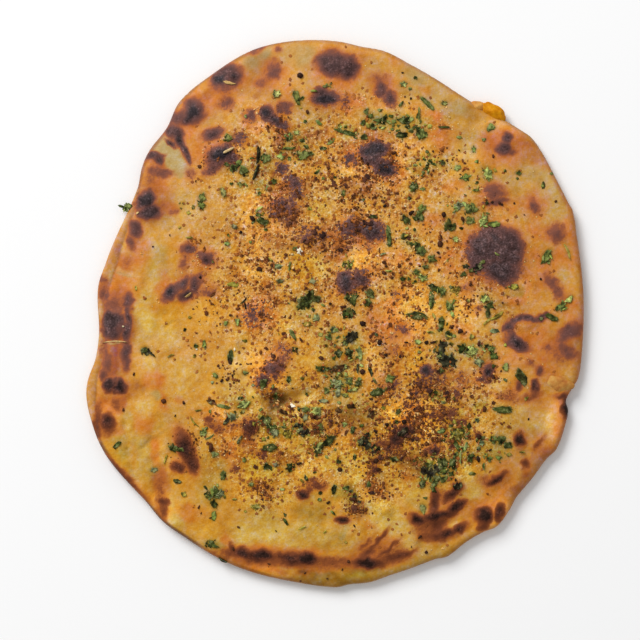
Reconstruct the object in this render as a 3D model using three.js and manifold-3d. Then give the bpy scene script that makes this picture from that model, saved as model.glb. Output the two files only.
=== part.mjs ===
// A stuffed flatbread, baked on a hot wall and dressed with coriander: a charred, blistered disc of
// laminated dough round a thin layer of spiced potato, which has broken out at two places of the rim.
// Millimetres, +Z up. The origin is on the floor, under the middle of the bread's bounding box.
import * as THREE from 'three';
import { mergeVertices } from 'three/addons/utils/BufferGeometryUtils.js';
import Module from 'manifold-3d';

const wasm = await Module();
wasm.setup();

// Driving dimensions
const CROWN = 8.4; // height of the bread away from its rim
const RIM_THICKNESS = 4.8; // thickness of the bread where its rounding begins
const RIM_ROUNDING = 4; // width of the rounding from the top down to the outermost edge
const RIM_SLOPE = 26; // distance in from the edge over which the bread reaches its full height
const EDGE_HEIGHT = 2; // height of the outermost edge over the bread's underside
const CURL_WIDTH = 22; // width of the band along the rim that curls up off the floor
const CURL = 1.1; // mean height of that curl
const UNDERCUT = 2.2; // how far the flat underside stays in from the outermost edge
const LIP_HEIGHT = 2.6; // height of the lower layer that shows as a second rim on the left
const FILLING_INSET = 13; // distance from the filling's edge to the bread's edge
const FILLING_HALF = 1.3; // half the thickness of the filling
const GAP = 0.3; // clearance between the filling and the bread round it
const LEAF_RISE = 0.75; // how far a coriander leaf stands over the crust
const LEAF_SINK = 0.9; // how far it reaches into the crust

// Mesh sizes
const CRUST_CELLS = 44; // cells across the top of the bread
const FILLING_CELLS = 14; // cells across the filling
const RIM_CROWDING = 0.3; // how much the rings of cells crowd towards the rim
const LEAF_CORNERS = 6;

// The bread's outline seen from above, clockwise from the top
const OUTLINE = [
  [-13.3, 109.9], [1.8, 109.3], [10.1, 107.4], [19.9, 105.4], [30.6, 99.9], [45.2, 91.2],
  [54.1, 85.4], [61, 81.6], [68.3, 77.6], [72.8, 74.8], [78.6, 70.8], [83, 64.6], [88.3, 54.6],
  [93.2, 45], [95.1, 41.6], [97, 29.6], [98.9, 15.5], [99.5, -4], [99, -14.4], [97.4, -25.7],
  [94.7, -30.3], [92.5, -35], [93.4, -38.6], [92.7, -42.9], [88.7, -54.2], [84.7, -58.2],
  [78.8, -66.2], [72.8, -73.4], [69.4, -79.4], [64.8, -85.2], [58.9, -87.7], [52.2, -91.7],
  [44.9, -97.3], [39.4, -98.6], [22.8, -104.6], [14.2, -107.6], [5.5, -108.6], [0.9, -109.7],
  [-6.4, -109.2], [-18, -107.3], [-39.9, -101.3], [-59.8, -90], [-69, -83.4], [-77, -74.1],
  [-91, -58.2], [-94.6, -52.2], [-97.6, -44.2], [-99.9, -34.2], [-99.6, -27.4], [-96.2, -17.4],
  [-94.9, -6], [-95.2, 11.2], [-91.9, 21.2], [-84.3, 39], [-79.4, 50.6], [-77.6, 59],
  [-74.8, 65.4], [-67.7, 74.8], [-62.6, 85.2], [-48.5, 97], [-35.1, 105.2], [-26, 108.2],
];

// The lower layer's second rim: [y, width of the strip that shows]
const LIP = [
  [-54, 0], [-46, 1.2], [-38, 3.2], [-30, 4.2], [-18, 3.4], [-4, 2.2], [5, 2.6], [12, 4.6],
  [21, 4.4], [32, 3], [44, 2], [52, 0],
];

// Blisters and swellings of the crust: [x, y, length, width, turn in degrees, rise]
const BLISTERS = [
  [65, 24.4, 30, 28, 0, 2], [1.3, 99.2, 19, 12, -10, 1], [-43.5, 91, 14, 14, 0, 1.1],
  [-57, 80, 13, 11, 30, 1], [-74.4, 42.8, 14, 14, 0, 1.2], [-45.4, 63, 15, 11, 10, 1.1],
  [17.5, 62, 15, 12, 40, 1.2], [-20.3, 42, 14, 13, 0, 0.9], [-10, 30.5, 13, 9, 0, 0.7],
  [5.6, 34.3, 11, 11, 0, 1], [14.5, 33, 12, 10, 0, 0.9], [68.3, 67.5, 11, 9, 70, 0.9],
  [63.5, 47.4, 13, 11, 0, 0.8], [79.5, 42.9, 8, 9, 0, 0.6], [88.7, 31.6, 9, 9, 0, 0.7],
  [93.5, -10, 11, 9, 50, 0.8], [76, -4, 17, 7, 12, 0.7], [72.8, -11.5, 10, 7, -25, 0.7],
  [6, 13.1, 14, 11, 0, 1.1], [-31.2, 0.5, 14, 11, 40, 0.9], [-24.6, -22, 20, 8, 52, 1],
  [-52, 22.4, 10, 8, 0, 0.7], [-61, 10, 16, 9, 30, 1], [-88, -4, 14, 16, 0, 0.9],
  [-82.6, -5, 24, 6, 88, 0.7], [-87.4, -28.4, 13, 8, 0, 0.8], [-92, -44.6, 11, 11, 0, 0.8],
  [-59.8, -53.6, 18, 9, -70, 1.1], [-63.1, -60.8, 7, 7, 0, 0.6], [-34.2, -45.6, 9, 11, 0, 0.9],
  [-32.6, -96.3, 17, 7, 0, 0.7], [-12, -98, 17, 8, 0, 0.8], [14, -99, 16, 8, 0, 0.9],
  [42, -79.4, 24, 8, 25, 1], [46, -87, 20, 7, 22, 0.8], [60, -80.3, 10, 10, 0, 0.9],
  [64.2, -66.6, 11, 7, 20, 0.6], [73.8, -51.6, 8, 9, 0, 0.6], [48.2, -70, 9, 8, 40, 0.7],
  [26, -47.6, 13, 9, 40, 0.9], [35.6, -24.5, 11, 10, 0, 0.8], [60.8, -24, 8, 10, 0, 0.7],
  [44, -40, 18, 9, 0, 0.7], [40, -54.2, 11, 7, 0, 0.7],
];

// Folds and the tear, as ridges and furrows: [from x, from y, to x, to y, half width, rise]
const CREASES = [
  [-40, -11, -38.6, -22, 2.6, 0.8], [-38.6, -22, -29.2, -38, 2.8, 1],
  [-27, -34.5, -11, -32, 2.6, -2.4], [13.4, -74, 20.2, -78, 3.2, 0.9],
  [20.2, -78, 32.1, -89.4, 3.4, 0.9], [-84.3, -45.6, -83, -56.8, 2.6, -0.7],
  [-83, -56.8, -79.8, -66.8, 2.6, -0.7], [-77, -53.6, -66.4, -44.2, 2.4, -0.6],
  [-73, -50.2, -69, -81.4, 3, -0.7], [-93, -11, -83, -11, 1.8, -0.6],
  [39.4, 63.4, 52.3, 65.2, 2.4, -0.5],
];

// Where the filling breaks out of the bread: [x, y, z, length, width, height, turn in degrees]
const OUTBREAKS = [
  [57.4, 77, 4.1, 17, 14, 5.4, 53],
  [87.6, -26.9, 4.6, 15, 8.5, 5.2, -17],
];

// The coriander leaves and seeds of 3 mm and more: [x, y, length, width, turn in degrees]
const LEAVES = [
  [-15.6, 86.6, 6, 3, -65], [-23.6, 87.7, 3.6, 3.2, 0], [-42.8, 70.1, 4, 3, 20],
  [-36.8, 57.4, 4, 4, 0], [-41, 58.3, 4, 3, 40], [-18.7, 70.6, 4, 3, 10], [-12.9, 63.4, 6, 4, 30],
  [-28, 62.1, 5, 4, 20], [-31, 63, 7.5, 1.6, 85], [-31.8, 56.3, 6.6, 1.6, 70],
  [4.2, 72.5, 9, 1.9, -15], [34.1, 71.9, 5, 5, 0], [18.1, 77.2, 6, 3.5, 0],
  [27.4, 77.2, 5, 3, 0], [26.6, 71.4, 5, 2.5, 0], [36.7, 84.3, 8, 2.2, -44],
  [12.3, 78.5, 5.5, 2.5, 70], [62.1, 74.6, 4, 3, 30], [60.8, 55.9, 6, 3.5, -65],
  [51.9, 54.6, 4.5, 2.8, 20], [30.8, 51.4, 4.5, 3.5, 80], [-53.3, 44.6, 7, 3, 85],
  [-44.8, 48.5, 4.5, 2.5, -70], [-84.4, 42.6, 6, 2.6, 170], [-75.7, -15.1, 5, 3.4, -15],
  [-41.9, -16.9, 5, 2.6, 85], [-29.3, 37.1, 5.5, 3, -10], [-40.9, 11.8, 4.6, 2.2, -5],
  [-11.6, 4, 9, 5, 25], [-9.6, 6.6, 7, 6, 80], [6.7, 5.8, 6.4, 5, -60], [5.2, 0.2, 5.6, 4.5, 30],
  [13.7, 8.2, 4.2, 3, -30], [12.8, 4.7, 3.6, 3, 80], [6.4, -9.1, 6.2, 4, 35],
  [-2, -7.8, 5, 3, -60], [-17.1, -8.2, 5, 2, -60], [1.3, -15.8, 3.6, 3, 30],
  [5.6, -15.3, 4, 3.5, 70], [9.7, -15.8, 6, 2, -82], [-5.3, -21.9, 5, 3.2, -5],
  [1.8, -21.5, 8, 3, 12], [0.9, -29.4, 7, 4, 85], [7.4, -27.1, 7, 3.2, -15],
  [14.4, -24.5, 8, 1.7, -72], [16.8, -31.2, 6.2, 3.2, 15], [21.7, -25.7, 4, 3.5, 10],
  [33.9, 40.4, 6.6, 4.5, 85], [28.1, 37.6, 4.6, 3.3, -65], [27.4, 30.9, 3.4, 3, 0],
  [21.2, 31.3, 9, 2, -85], [33.4, 26.3, 6, 3.6, -45], [38, 21.8, 4.4, 3.8, 40],
  [34, 15.6, 5.6, 3, -45], [45.3, 35.2, 6, 4, -70], [49, 43.3, 3.6, 3.5, 0],
  [53.9, 42, 6, 4, -10], [53.7, 37.1, 4, 3, -20], [59, 37.1, 5.8, 3.4, 70],
  [63.2, 35.8, 5, 2.6, 0], [38.3, 5.6, 8, 2.4, 88], [43.9, 6, 10, 4, -65], [47.7, 9.6, 4, 4, 0],
  [60.3, 4.4, 7, 5, 70], [32.8, -0.7, 8.6, 3.2, -8], [42.3, -3.9, 6, 2.8, 85],
  [45.4, -8.3, 4, 3, -10], [42.4, -14, 7, 3.8, 85], [45.2, -18.6, 7.6, 5.5, -10],
  [50.4, -14.3, 4, 3, 70], [54.1, -14.8, 4.4, 4, 0], [62.4, -15, 6.4, 3.8, -50],
  [64.8, -0.7, 5.4, 2, 40], [84.3, 22.9, 6.6, 3, 58], [91.3, 3.8, 7.2, 3.8, 38],
  [86.3, -1.3, 5.8, 2.4, -25], [71.4, 10.9, 4, 3, 10], [74.3, -25.2, 7.6, 3.6, -60],
  [66.8, -38.1, 8, 2.8, -2], [67.9, -21.2, 3.6, 2.6, 80], [-36.6, -36.1, 5.2, 3, 25],
  [-49.4, -35, 4.6, 2.8, -25], [-42.2, -41.8, 6.2, 3.2, 48], [-52.6, -47.4, 3.6, 3, 60],
  [-27.1, -43.9, 8, 4.6, -60], [-13.3, -46.1, 6.4, 4.4, -35], [-12, -38.1, 4.6, 2.6, 0],
  [-7.6, -38.8, 4, 3.5, 20], [-26.2, -53.2, 6, 3, 5], [-4.4, -52.3, 10.5, 4, 40],
  [12.3, -51.9, 9.6, 5, -32], [27.4, -47.2, 5, 4.6, 0], [-18, -61.2, 4.4, 3, 42],
  [-27.3, -60.8, 4, 3, 0], [48.8, -48.3, 5, 4, 60], [48.3, -53.4, 6, 2, -65],
  [53.4, -57.6, 4, 2.8, 85], [63, -50, 3.8, 3.4, 0], [67.4, -51.3, 6, 3.2, -40],
  [23.4, -57.9, 4.2, 2.6, 0], [37.4, -62.6, 7, 6, 20], [42.6, -60, 5, 4.4, 60],
  [46.6, -59.4, 6.4, 3.4, 80], [43, -65.9, 4.4, 3, 15], [34.6, -67.6, 4, 2.8, 80],
  [39, -69.9, 4, 2.4, -60], [48.8, -68.6, 4.8, 4, 30], [35, -77.9, 4.6, 3.5, 80],
  [-64.6, -53.7, 5.4, 3.2, -25], [-87.3, -52.3, 4.4, 2, 40], [-49, -71.7, 5.6, 5, 0],
  [-48.6, -75.7, 3.8, 2.8, -60], [-45, -64.6, 4.4, 2.6, 85], [-31.6, -76.8, 3.6, 3, 0],
  [-49.4, -92.3, 5.6, 3, -15],
];

const radians = THREE.MathUtils.degToRad;
const smooth = THREE.MathUtils.smoothstep;
const { clamp } = THREE.MathUtils;

// A repeatable draw between 0 and 1 for the leaf with this number
function draw(number, use) {
  const wave = Math.sin(number * 127.1 + use * 311.7) * 43758.5453;
  return wave - Math.floor(wave);
}

const RIM = OUTLINE.map(([x, y]) => ({ angle: Math.atan2(y, x), radius: Math.hypot(x, y) }));
RIM.sort((a, b) => a.angle - b.angle);

function rimPoint(index) {
  const turns = Math.floor(index / RIM.length);
  const point = RIM[index - turns * RIM.length];
  return { angle: point.angle + turns * 2 * Math.PI, radius: point.radius };
}

function rimSlope(index) {
  const before = rimPoint(index - 1);
  const after = rimPoint(index + 1);
  return (after.radius - before.radius) / (after.angle - before.angle);
}

// Radius of the bread in one direction: a cubic curve through the outline's points
function reach(angle) {
  let index = RIM.findIndex((point) => point.angle > angle) - 1;
  if (index === -2) {
    index = RIM.length - 1;
  }
  const from = rimPoint(index);
  const to = rimPoint(index + 1);
  const span = to.angle - from.angle;
  const t = (angle - from.angle) / span;
  const rise = t * t * (3 - 2 * t);
  const startPull = t * (1 - t) * (1 - t) * span * rimSlope(index);
  const endPull = t * t * (t - 1) * span * rimSlope(index + 1);
  return from.radius + (to.radius - from.radius) * rise + startPull + endPull;
}

// Width of the lower layer's strip at a height y of the left rim
function lipWidth(x, y) {
  if (x > 0) {
    return 0;
  }
  for (let i = 1; i < LIP.length; i += 1) {
    const [fromY, fromWidth] = LIP[i - 1];
    const [toY, toWidth] = LIP[i];
    if (y >= fromY && y < toY) {
      return THREE.MathUtils.mapLinear(y, fromY, toY, fromWidth, toWidth);
    }
  }
  return 0;
}

function blisterRise(x, y) {
  let rise = 0;
  for (const [middleX, middleY, length, width, turn, height] of BLISTERS) {
    const along = (x - middleX) * Math.cos(radians(turn)) + (y - middleY) * Math.sin(radians(turn));
    const across = (y - middleY) * Math.cos(radians(turn)) - (x - middleX) * Math.sin(radians(turn));
    const away = (2 * along / length) ** 2 + (2 * across / width) ** 2;
    if (away < 1) {
      rise = Math.max(rise, height * (1 - away) ** 1.5);
    }
  }
  return rise;
}

function creaseRise(x, y) {
  let rise = 0;
  for (const [fromX, fromY, toX, toY, halfWidth, height] of CREASES) {
    const lengthSquared = (toX - fromX) ** 2 + (toY - fromY) ** 2;
    const t = clamp(((x - fromX) * (toX - fromX) + (y - fromY) * (toY - fromY)) / lengthSquared, 0, 1);
    const away = Math.hypot(x - fromX - t * (toX - fromX), y - fromY - t * (toY - fromY));
    rise += height * Math.exp(-((away / halfWidth) ** 2));
  }
  return rise;
}

// Broad unevenness of hand-stretched dough
function doughWaves(x, y) {
  const broad = 0.5 * Math.sin(x / 17 + 0.6) * Math.cos(y / 21 - 0.4);
  const slanting = 0.3 * Math.sin((x + y) / 12 + 1.3);
  const small = 0.2 * Math.sin(x / 7.5 - y / 9 + 0.5);
  return broad + slanting + small;
}

// Height of the rim's curl off the floor, round the bread
function curl(angle) {
  return CURL * (1 + 0.45 * Math.sin(2 * angle + 1) + 0.3 * Math.sin(5 * angle + 0.4));
}

function underside(x, y) {
  const angle = Math.atan2(y, x);
  const inside = reach(angle) - Math.hypot(x, y);
  return curl(angle) * (1 - smooth(inside, 0, CURL_WIDTH));
}

function crust(x, y) {
  const angle = Math.atan2(y, x);
  const inside = reach(angle) - Math.hypot(x, y);
  const floor = curl(angle) * (1 - smooth(inside, 0, CURL_WIDTH));
  const lip = lipWidth(x, y);
  if (inside < lip) {
    const rounding = Math.sqrt(1 - (1 - clamp(inside / (RIM_ROUNDING / 2), 0, 1)) ** 2);
    return floor + EDGE_HEIGHT * 0.7 + (LIP_HEIGHT - EDGE_HEIGHT * 0.7) * rounding;
  }
  const behindLip = inside - lip;
  const relief = blisterRise(x, y) + creaseRise(x, y) + doughWaves(x, y) * smooth(behindLip, 0, 12);
  const thickness = RIM_THICKNESS + (CROWN - RIM_THICKNESS) * smooth(behindLip, 0, RIM_SLOPE) + relief;
  const rounding = Math.sqrt(1 - (1 - clamp(behindLip / RIM_ROUNDING, 0, 1)) ** 2);
  const edge = lip > 0.5 ? LIP_HEIGHT : EDGE_HEIGHT;
  return floor + edge + (thickness - edge) * rounding;
}

// A disc of square cells pulled out to the outline, with its rim's points in order round it
function disc(cells, radiusAt, heightAt) {
  const points = [];
  const index = (i, j) => i * (cells + 1) + j;
  for (let i = 0; i <= cells; i += 1) {
    for (let j = 0; j <= cells; j += 1) {
      const a = (2 * i) / cells - 1;
      const b = (2 * j) / cells - 1;
      const ring = Math.max(Math.abs(a), Math.abs(b));
      const share = ring + RIM_CROWDING * ring * (1 - ring);
      let angle = 0;
      if (Math.abs(a) > Math.abs(b)) {
        angle = (Math.PI / 4) * (b / a) + (a < 0 ? Math.PI : 0);
      } else if (ring > 0) {
        angle = Math.PI / 2 - (Math.PI / 4) * (a / b) + (b < 0 ? Math.PI : 0);
      }
      angle = Math.atan2(Math.sin(angle), Math.cos(angle));
      const radius = share * radiusAt(angle);
      const x = radius * Math.cos(angle);
      const y = radius * Math.sin(angle);
      points.push([x, y, heightAt(x, y)]);
    }
  }
  const faces = [];
  for (let i = 0; i < cells; i += 1) {
    for (let j = 0; j < cells; j += 1) {
      const corners = [index(i, j), index(i + 1, j), index(i + 1, j + 1), index(i, j + 1)];
      const shift = (i < cells / 2) === (j < cells / 2) ? 0 : 1;
      const [p, q, r, s] = [0, 1, 2, 3].map((k) => corners[(k + shift) % 4]);
      faces.push([p, q, r], [p, r, s]);
    }
  }
  const rim = [];
  for (let k = 0; k < cells; k += 1) {
    rim.push(index(cells, k));
  }
  for (let k = cells; k > 0; k -= 1) {
    rim.push(index(k, cells));
  }
  for (let k = cells; k > 0; k -= 1) {
    rim.push(index(0, k));
  }
  for (let k = 0; k < cells; k += 1) {
    rim.push(index(k, 0));
  }
  return { points, faces, rim };
}

// One closed body from an upper and a lower disc; the upper rim may have twice the lower rim's points
function closedBody(upper, lower) {
  const offset = upper.points.length;
  const points = [...upper.points, ...lower.points];
  const faces = [...upper.faces];
  for (const [p, q, r] of lower.faces) {
    faces.push([p + offset, r + offset, q + offset]);
  }
  const ratio = upper.rim.length / lower.rim.length;
  for (let k = 0; k < lower.rim.length; k += 1) {
    const low = lower.rim[k] + offset;
    const nextLow = lower.rim[(k + 1) % lower.rim.length] + offset;
    for (let m = 0; m < ratio; m += 1) {
      const high = upper.rim[k * ratio + m];
      const nextHigh = upper.rim[(k * ratio + m + 1) % upper.rim.length];
      faces.push([low, nextHigh, high]);
    }
    faces.push([low, nextLow, upper.rim[((k + 1) * ratio) % upper.rim.length]]);
  }
  return solid(points, faces);
}

function solid(points, faces) {
  return new wasm.Manifold(new wasm.Mesh({
    numProp: 3,
    vertProperties: new Float32Array(points.flat()),
    triVerts: new Uint32Array(faces.flat()),
  }));
}

function solidOf(geometry) {
  geometry.deleteAttribute('normal');
  geometry.deleteAttribute('uv');
  const merged = mergeVertices(geometry, 1e-4);
  return new wasm.Manifold(new wasm.Mesh({
    numProp: 3,
    vertProperties: merged.attributes.position.array,
    triVerts: merged.index.array,
  }));
}

function geometryOf(body) {
  const mesh = body.getMesh();
  const geometry = new THREE.BufferGeometry();
  geometry.setAttribute('position', new THREE.BufferAttribute(mesh.vertProperties, 3));
  geometry.setIndex(new THREE.BufferAttribute(mesh.triVerts, 1));
  geometry.computeVertexNormals();
  return geometry;
}

function wholeBread() {
  const upper = disc(CRUST_CELLS, reach, crust);
  const lower = disc(CRUST_CELLS / 2, (angle) => reach(angle) - UNDERCUT, underside);
  return closedBody(upper, lower);
}

// The potato layer half way up the bread, or with a margin the space that it fills
function potatoLayer(margin) {
  const radiusAt = (angle) => reach(angle) - FILLING_INSET + margin;
  const halfAt = (x, y) => {
    const inside = radiusAt(Math.atan2(y, x)) - Math.hypot(x, y);
    return FILLING_HALF * (0.4 + 0.6 * smooth(inside, 0, FILLING_INSET)) + margin;
  };
  const middleAt = (x, y) => {
    const angle = Math.atan2(y, x);
    const inside = reach(angle) - Math.hypot(x, y);
    const floor = curl(angle) * (1 - smooth(inside, 0, CURL_WIDTH));
    return floor + 0.5 * (RIM_THICKNESS + (CROWN - RIM_THICKNESS) * smooth(inside, 0, RIM_SLOPE));
  };
  const upper = disc(FILLING_CELLS, radiusAt, (x, y) => middleAt(x, y) + halfAt(x, y));
  const lower = disc(FILLING_CELLS, radiusAt, (x, y) => middleAt(x, y) - halfAt(x, y));
  return closedBody(upper, lower);
}

// A lump of potato that has pushed out through the rim
function outbreak([x, y, z, length, width, height, turn], margin) {
  const lump = new THREE.SphereGeometry(1, 14, 9);
  const place = lump.attributes.position;
  for (let i = 0; i < place.count; i += 1) {
    const [u, v, w] = [place.getX(i), place.getY(i), place.getZ(i)];
    const uneven = 1 + 0.07 * Math.sin(7 * u + 2) * Math.cos(5 * v) + 0.05 * Math.sin(6 * w + 1);
    place.setXYZ(i, u * uneven, v * uneven, w * uneven);
  }
  lump.scale(length / 2 + margin, width / 2 + margin, height / 2 + margin);
  lump.rotateZ(radians(turn));
  lump.translate(x, y, z);
  return solidOf(lump);
}

function filling(margin) {
  let body = potatoLayer(margin);
  for (const place of OUTBREAKS) {
    body = body.add(outbreak(place, margin));
  }
  return body;
}

// A torn leaf on the crust: a thin wavy sheet, with both faces split alike
function leaf([x, y, length, width, turn], number) {
  const sheet = [[x, y]];
  for (let k = 0; k < LEAF_CORNERS; k += 1) {
    const angle = (2 * Math.PI * (k + 0.5 * draw(number, k))) / LEAF_CORNERS;
    const ragged = 0.8 + 0.35 * draw(number, k + LEAF_CORNERS);
    const along = (length / 2) * ragged * Math.cos(angle);
    const across = (width / 2) * ragged * Math.sin(angle);
    const cos = Math.cos(radians(turn));
    const sin = Math.sin(radians(turn));
    sheet.push([x + along * cos - across * sin, y + along * sin + across * cos]);
  }
  const points = [];
  for (const [k, [px, py]] of sheet.entries()) {
    const wave = 0.4 * (draw(number, k + 2 * LEAF_CORNERS) - 0.5);
    points.push([px, py, crust(px, py) + LEAF_RISE + wave]);
  }
  for (const [px, py] of sheet) {
    points.push([px, py, crust(px, py) - LEAF_SINK]);
  }
  const faces = [];
  const below = sheet.length;
  for (let k = 1; k <= LEAF_CORNERS; k += 1) {
    const next = (k % LEAF_CORNERS) + 1;
    faces.push([0, k, next], [below, below + next, below + k]);
    faces.push([k, below + k, below + next], [k, below + next, next]);
  }
  return solid(points, faces);
}

// The bread with its leaves, hollow for the filling, without the scraps that the hollow cuts loose
function dressedBread() {
  const leaves = LEAVES.map((place, number) => leaf(place, number));
  const dressed = wasm.Manifold.union([wholeBread(), ...leaves]);
  const bodies = dressed.subtract(filling(GAP)).decompose();
  bodies.sort((a, b) => b.volume() - a.volume());
  return bodies[0];
}

function piece(name, body, colour, roughness) {
  const material = new THREE.MeshStandardMaterial({ color: colour, roughness, metalness: 0 });
  const mesh = new THREE.Mesh(geometryOf(body), material);
  mesh.name = name;
  return mesh;
}

const bread = piece('bread', dressedBread(), 0xc9913f, 0.75);
const middle = new THREE.Box3().setFromObject(bread).getCenter(new THREE.Vector3());

const group = new THREE.Group();
group.add(bread);
group.add(piece('filling', filling(0), 0xd98f12, 0.6));
group.position.set(-middle.x, -middle.y, 0);

export default group;
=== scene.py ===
"""A stuffed flatbread with a charred crust, coriander and crushed spice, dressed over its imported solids.

Places are in millimetres, seen from above with +X to the right and +Y up in the photograph, until a piece
is made from them.
"""
import math

import bpy
import numpy as np
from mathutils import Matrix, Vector


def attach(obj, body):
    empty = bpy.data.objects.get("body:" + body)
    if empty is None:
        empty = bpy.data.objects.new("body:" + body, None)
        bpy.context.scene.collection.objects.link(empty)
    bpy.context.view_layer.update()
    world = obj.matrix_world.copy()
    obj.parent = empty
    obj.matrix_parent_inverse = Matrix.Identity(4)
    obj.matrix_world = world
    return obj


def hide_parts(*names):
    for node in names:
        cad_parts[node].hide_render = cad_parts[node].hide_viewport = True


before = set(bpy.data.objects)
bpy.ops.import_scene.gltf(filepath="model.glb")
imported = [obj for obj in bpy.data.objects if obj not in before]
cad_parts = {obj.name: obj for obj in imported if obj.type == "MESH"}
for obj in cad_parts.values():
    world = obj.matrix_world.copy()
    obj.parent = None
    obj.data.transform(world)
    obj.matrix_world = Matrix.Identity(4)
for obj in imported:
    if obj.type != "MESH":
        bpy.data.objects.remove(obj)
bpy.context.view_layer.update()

MM = 0.001

# The bread's form, as in the part's source
CROWN = 8.4
RIM_THICKNESS = 4.8
RIM_ROUNDING = 4.0
RIM_SLOPE = 26.0
EDGE_HEIGHT = 2.0
CURL_WIDTH = 22.0
CURL = 1.1
UNDERCUT = 2.2
LIP_HEIGHT = 2.6
LIP_EDGE = 0.7 * EDGE_HEIGHT
WAVES_FROM_RIM = 12
FILLING_INSET = 13.0
FILLING_HALF = 1.3
COVER = 0.7

# Height of the fine relief: crags and swelling of the burns, the dough's skin and its grain, the spice
CRAGS = 0.32
SWELLING = 0.1
SKIN = 0.22
SKIN_GRAIN = 0.1
SPICE_RELIEF = 0.2

# Thickness of the loose pieces
LEAF_THICKNESS = 0.22
ONION_THICKNESS = 0.35

# How finely the pieces are meshed
CRUST_CELLS = 272
UNDERSIDE_CELLS = 68
FILLING_CELLS = 48
RIM_CROWDING = 0.3
SMALL_LEAF = 2.6

OUTLINE = [
    (-13.3, 109.9), (1.8, 109.3), (10.1, 107.4), (19.9, 105.4), (30.6, 99.9), (45.2, 91.2), (54.1, 85.4),
    (61, 81.6), (68.3, 77.6), (72.8, 74.8), (78.6, 70.8), (83, 64.6), (88.3, 54.6), (93.2, 45),
    (95.1, 41.6), (97, 29.6), (98.9, 15.5), (99.5, -4), (99, -14.4), (97.4, -25.7), (94.7, -30.3),
    (92.5, -35), (93.4, -38.6), (92.7, -42.9), (88.7, -54.2), (84.7, -58.2), (78.8, -66.2), (72.8, -73.4),
    (69.4, -79.4), (64.8, -85.2), (58.9, -87.7), (52.2, -91.7), (44.9, -97.3), (39.4, -98.6),
    (22.8, -104.6), (14.2, -107.6), (5.5, -108.6), (0.9, -109.7), (-6.4, -109.2), (-18, -107.3),
    (-39.9, -101.3), (-59.8, -90), (-69, -83.4), (-77, -74.1), (-91, -58.2), (-94.6, -52.2), (-97.6, -44.2),
    (-99.9, -34.2), (-99.6, -27.4), (-96.2, -17.4), (-94.9, -6), (-95.2, 11.2), (-91.9, 21.2), (-84.3, 39),
    (-79.4, 50.6), (-77.6, 59), (-74.8, 65.4), (-67.7, 74.8), (-62.6, 85.2), (-48.5, 97), (-35.1, 105.2),
    (-26, 108.2),
]
LIP_Y = (-54, -46, -38, -30, -18, -4, 5, 12, 21, 32, 44, 52)
LIP_WIDTH = (0, 1.2, 3.2, 4.2, 3.4, 2.2, 2.6, 4.6, 4.4, 3, 2, 0)

# Blisters: x, y, length, width, turn in degrees, rise
BLISTERS = [
    (65, 24.4, 30, 28, 0, 2), (1.3, 99.2, 19, 12, -10, 1), (-43.5, 91, 14, 14, 0, 1.1),
    (-57, 80, 13, 11, 30, 1), (-74.4, 42.8, 14, 14, 0, 1.2), (-45.4, 63, 15, 11, 10, 1.1),
    (17.5, 62, 15, 12, 40, 1.2), (-20.3, 42, 14, 13, 0, 0.9), (-10, 30.5, 13, 9, 0, 0.7),
    (5.6, 34.3, 11, 11, 0, 1), (14.5, 33, 12, 10, 0, 0.9), (68.3, 67.5, 11, 9, 70, 0.9),
    (63.5, 47.4, 13, 11, 0, 0.8), (79.5, 42.9, 8, 9, 0, 0.6), (88.7, 31.6, 9, 9, 0, 0.7),
    (93.5, -10, 11, 9, 50, 0.8), (76, -4, 17, 7, 12, 0.7), (72.8, -11.5, 10, 7, -25, 0.7),
    (6, 13.1, 14, 11, 0, 1.1), (-31.2, 0.5, 14, 11, 40, 0.9), (-24.6, -22, 20, 8, 52, 1),
    (-52, 22.4, 10, 8, 0, 0.7), (-61, 10, 16, 9, 30, 1), (-88, -4, 14, 16, 0, 0.9),
    (-82.6, -5, 24, 6, 88, 0.7), (-87.4, -28.4, 13, 8, 0, 0.8), (-92, -44.6, 11, 11, 0, 0.8),
    (-59.8, -53.6, 18, 9, -70, 1.1), (-63.1, -60.8, 7, 7, 0, 0.6), (-34.2, -45.6, 9, 11, 0, 0.9),
    (-32.6, -96.3, 17, 7, 0, 0.7), (-12, -98, 17, 8, 0, 0.8), (14, -99, 16, 8, 0, 0.9),
    (42, -79.4, 24, 8, 25, 1), (46, -87, 20, 7, 22, 0.8), (60, -80.3, 10, 10, 0, 0.9),
    (64.2, -66.6, 11, 7, 20, 0.6), (73.8, -51.6, 8, 9, 0, 0.6), (48.2, -70, 9, 8, 40, 0.7),
    (26, -47.6, 13, 9, 40, 0.9), (35.6, -24.5, 11, 10, 0, 0.8), (60.8, -24, 8, 10, 0, 0.7),
    (44, -40, 18, 9, 0, 0.7), (40, -54.2, 11, 7, 0, 0.7),
]

# Folds and the tear: from x, from y, to x, to y, half width, rise
CREASES = [
    (-40, -11, -38.6, -22, 2.6, 0.8), (-38.6, -22, -29.2, -38, 2.8, 1), (-27, -34.5, -11, -32, 2.6, -2.4),
    (13.4, -74, 20.2, -78, 3.2, 0.9), (20.2, -78, 32.1, -89.4, 3.4, 0.9),
    (-84.3, -45.6, -83, -56.8, 2.6, -0.7), (-83, -56.8, -79.8, -66.8, 2.6, -0.7),
    (-77, -53.6, -66.4, -44.2, 2.4, -0.6), (-73, -50.2, -69, -81.4, 3, -0.7),
    (-93, -11, -83, -11, 1.8, -0.6), (39.4, 63.4, 52.3, 65.2, 2.4, -0.5),
]

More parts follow.
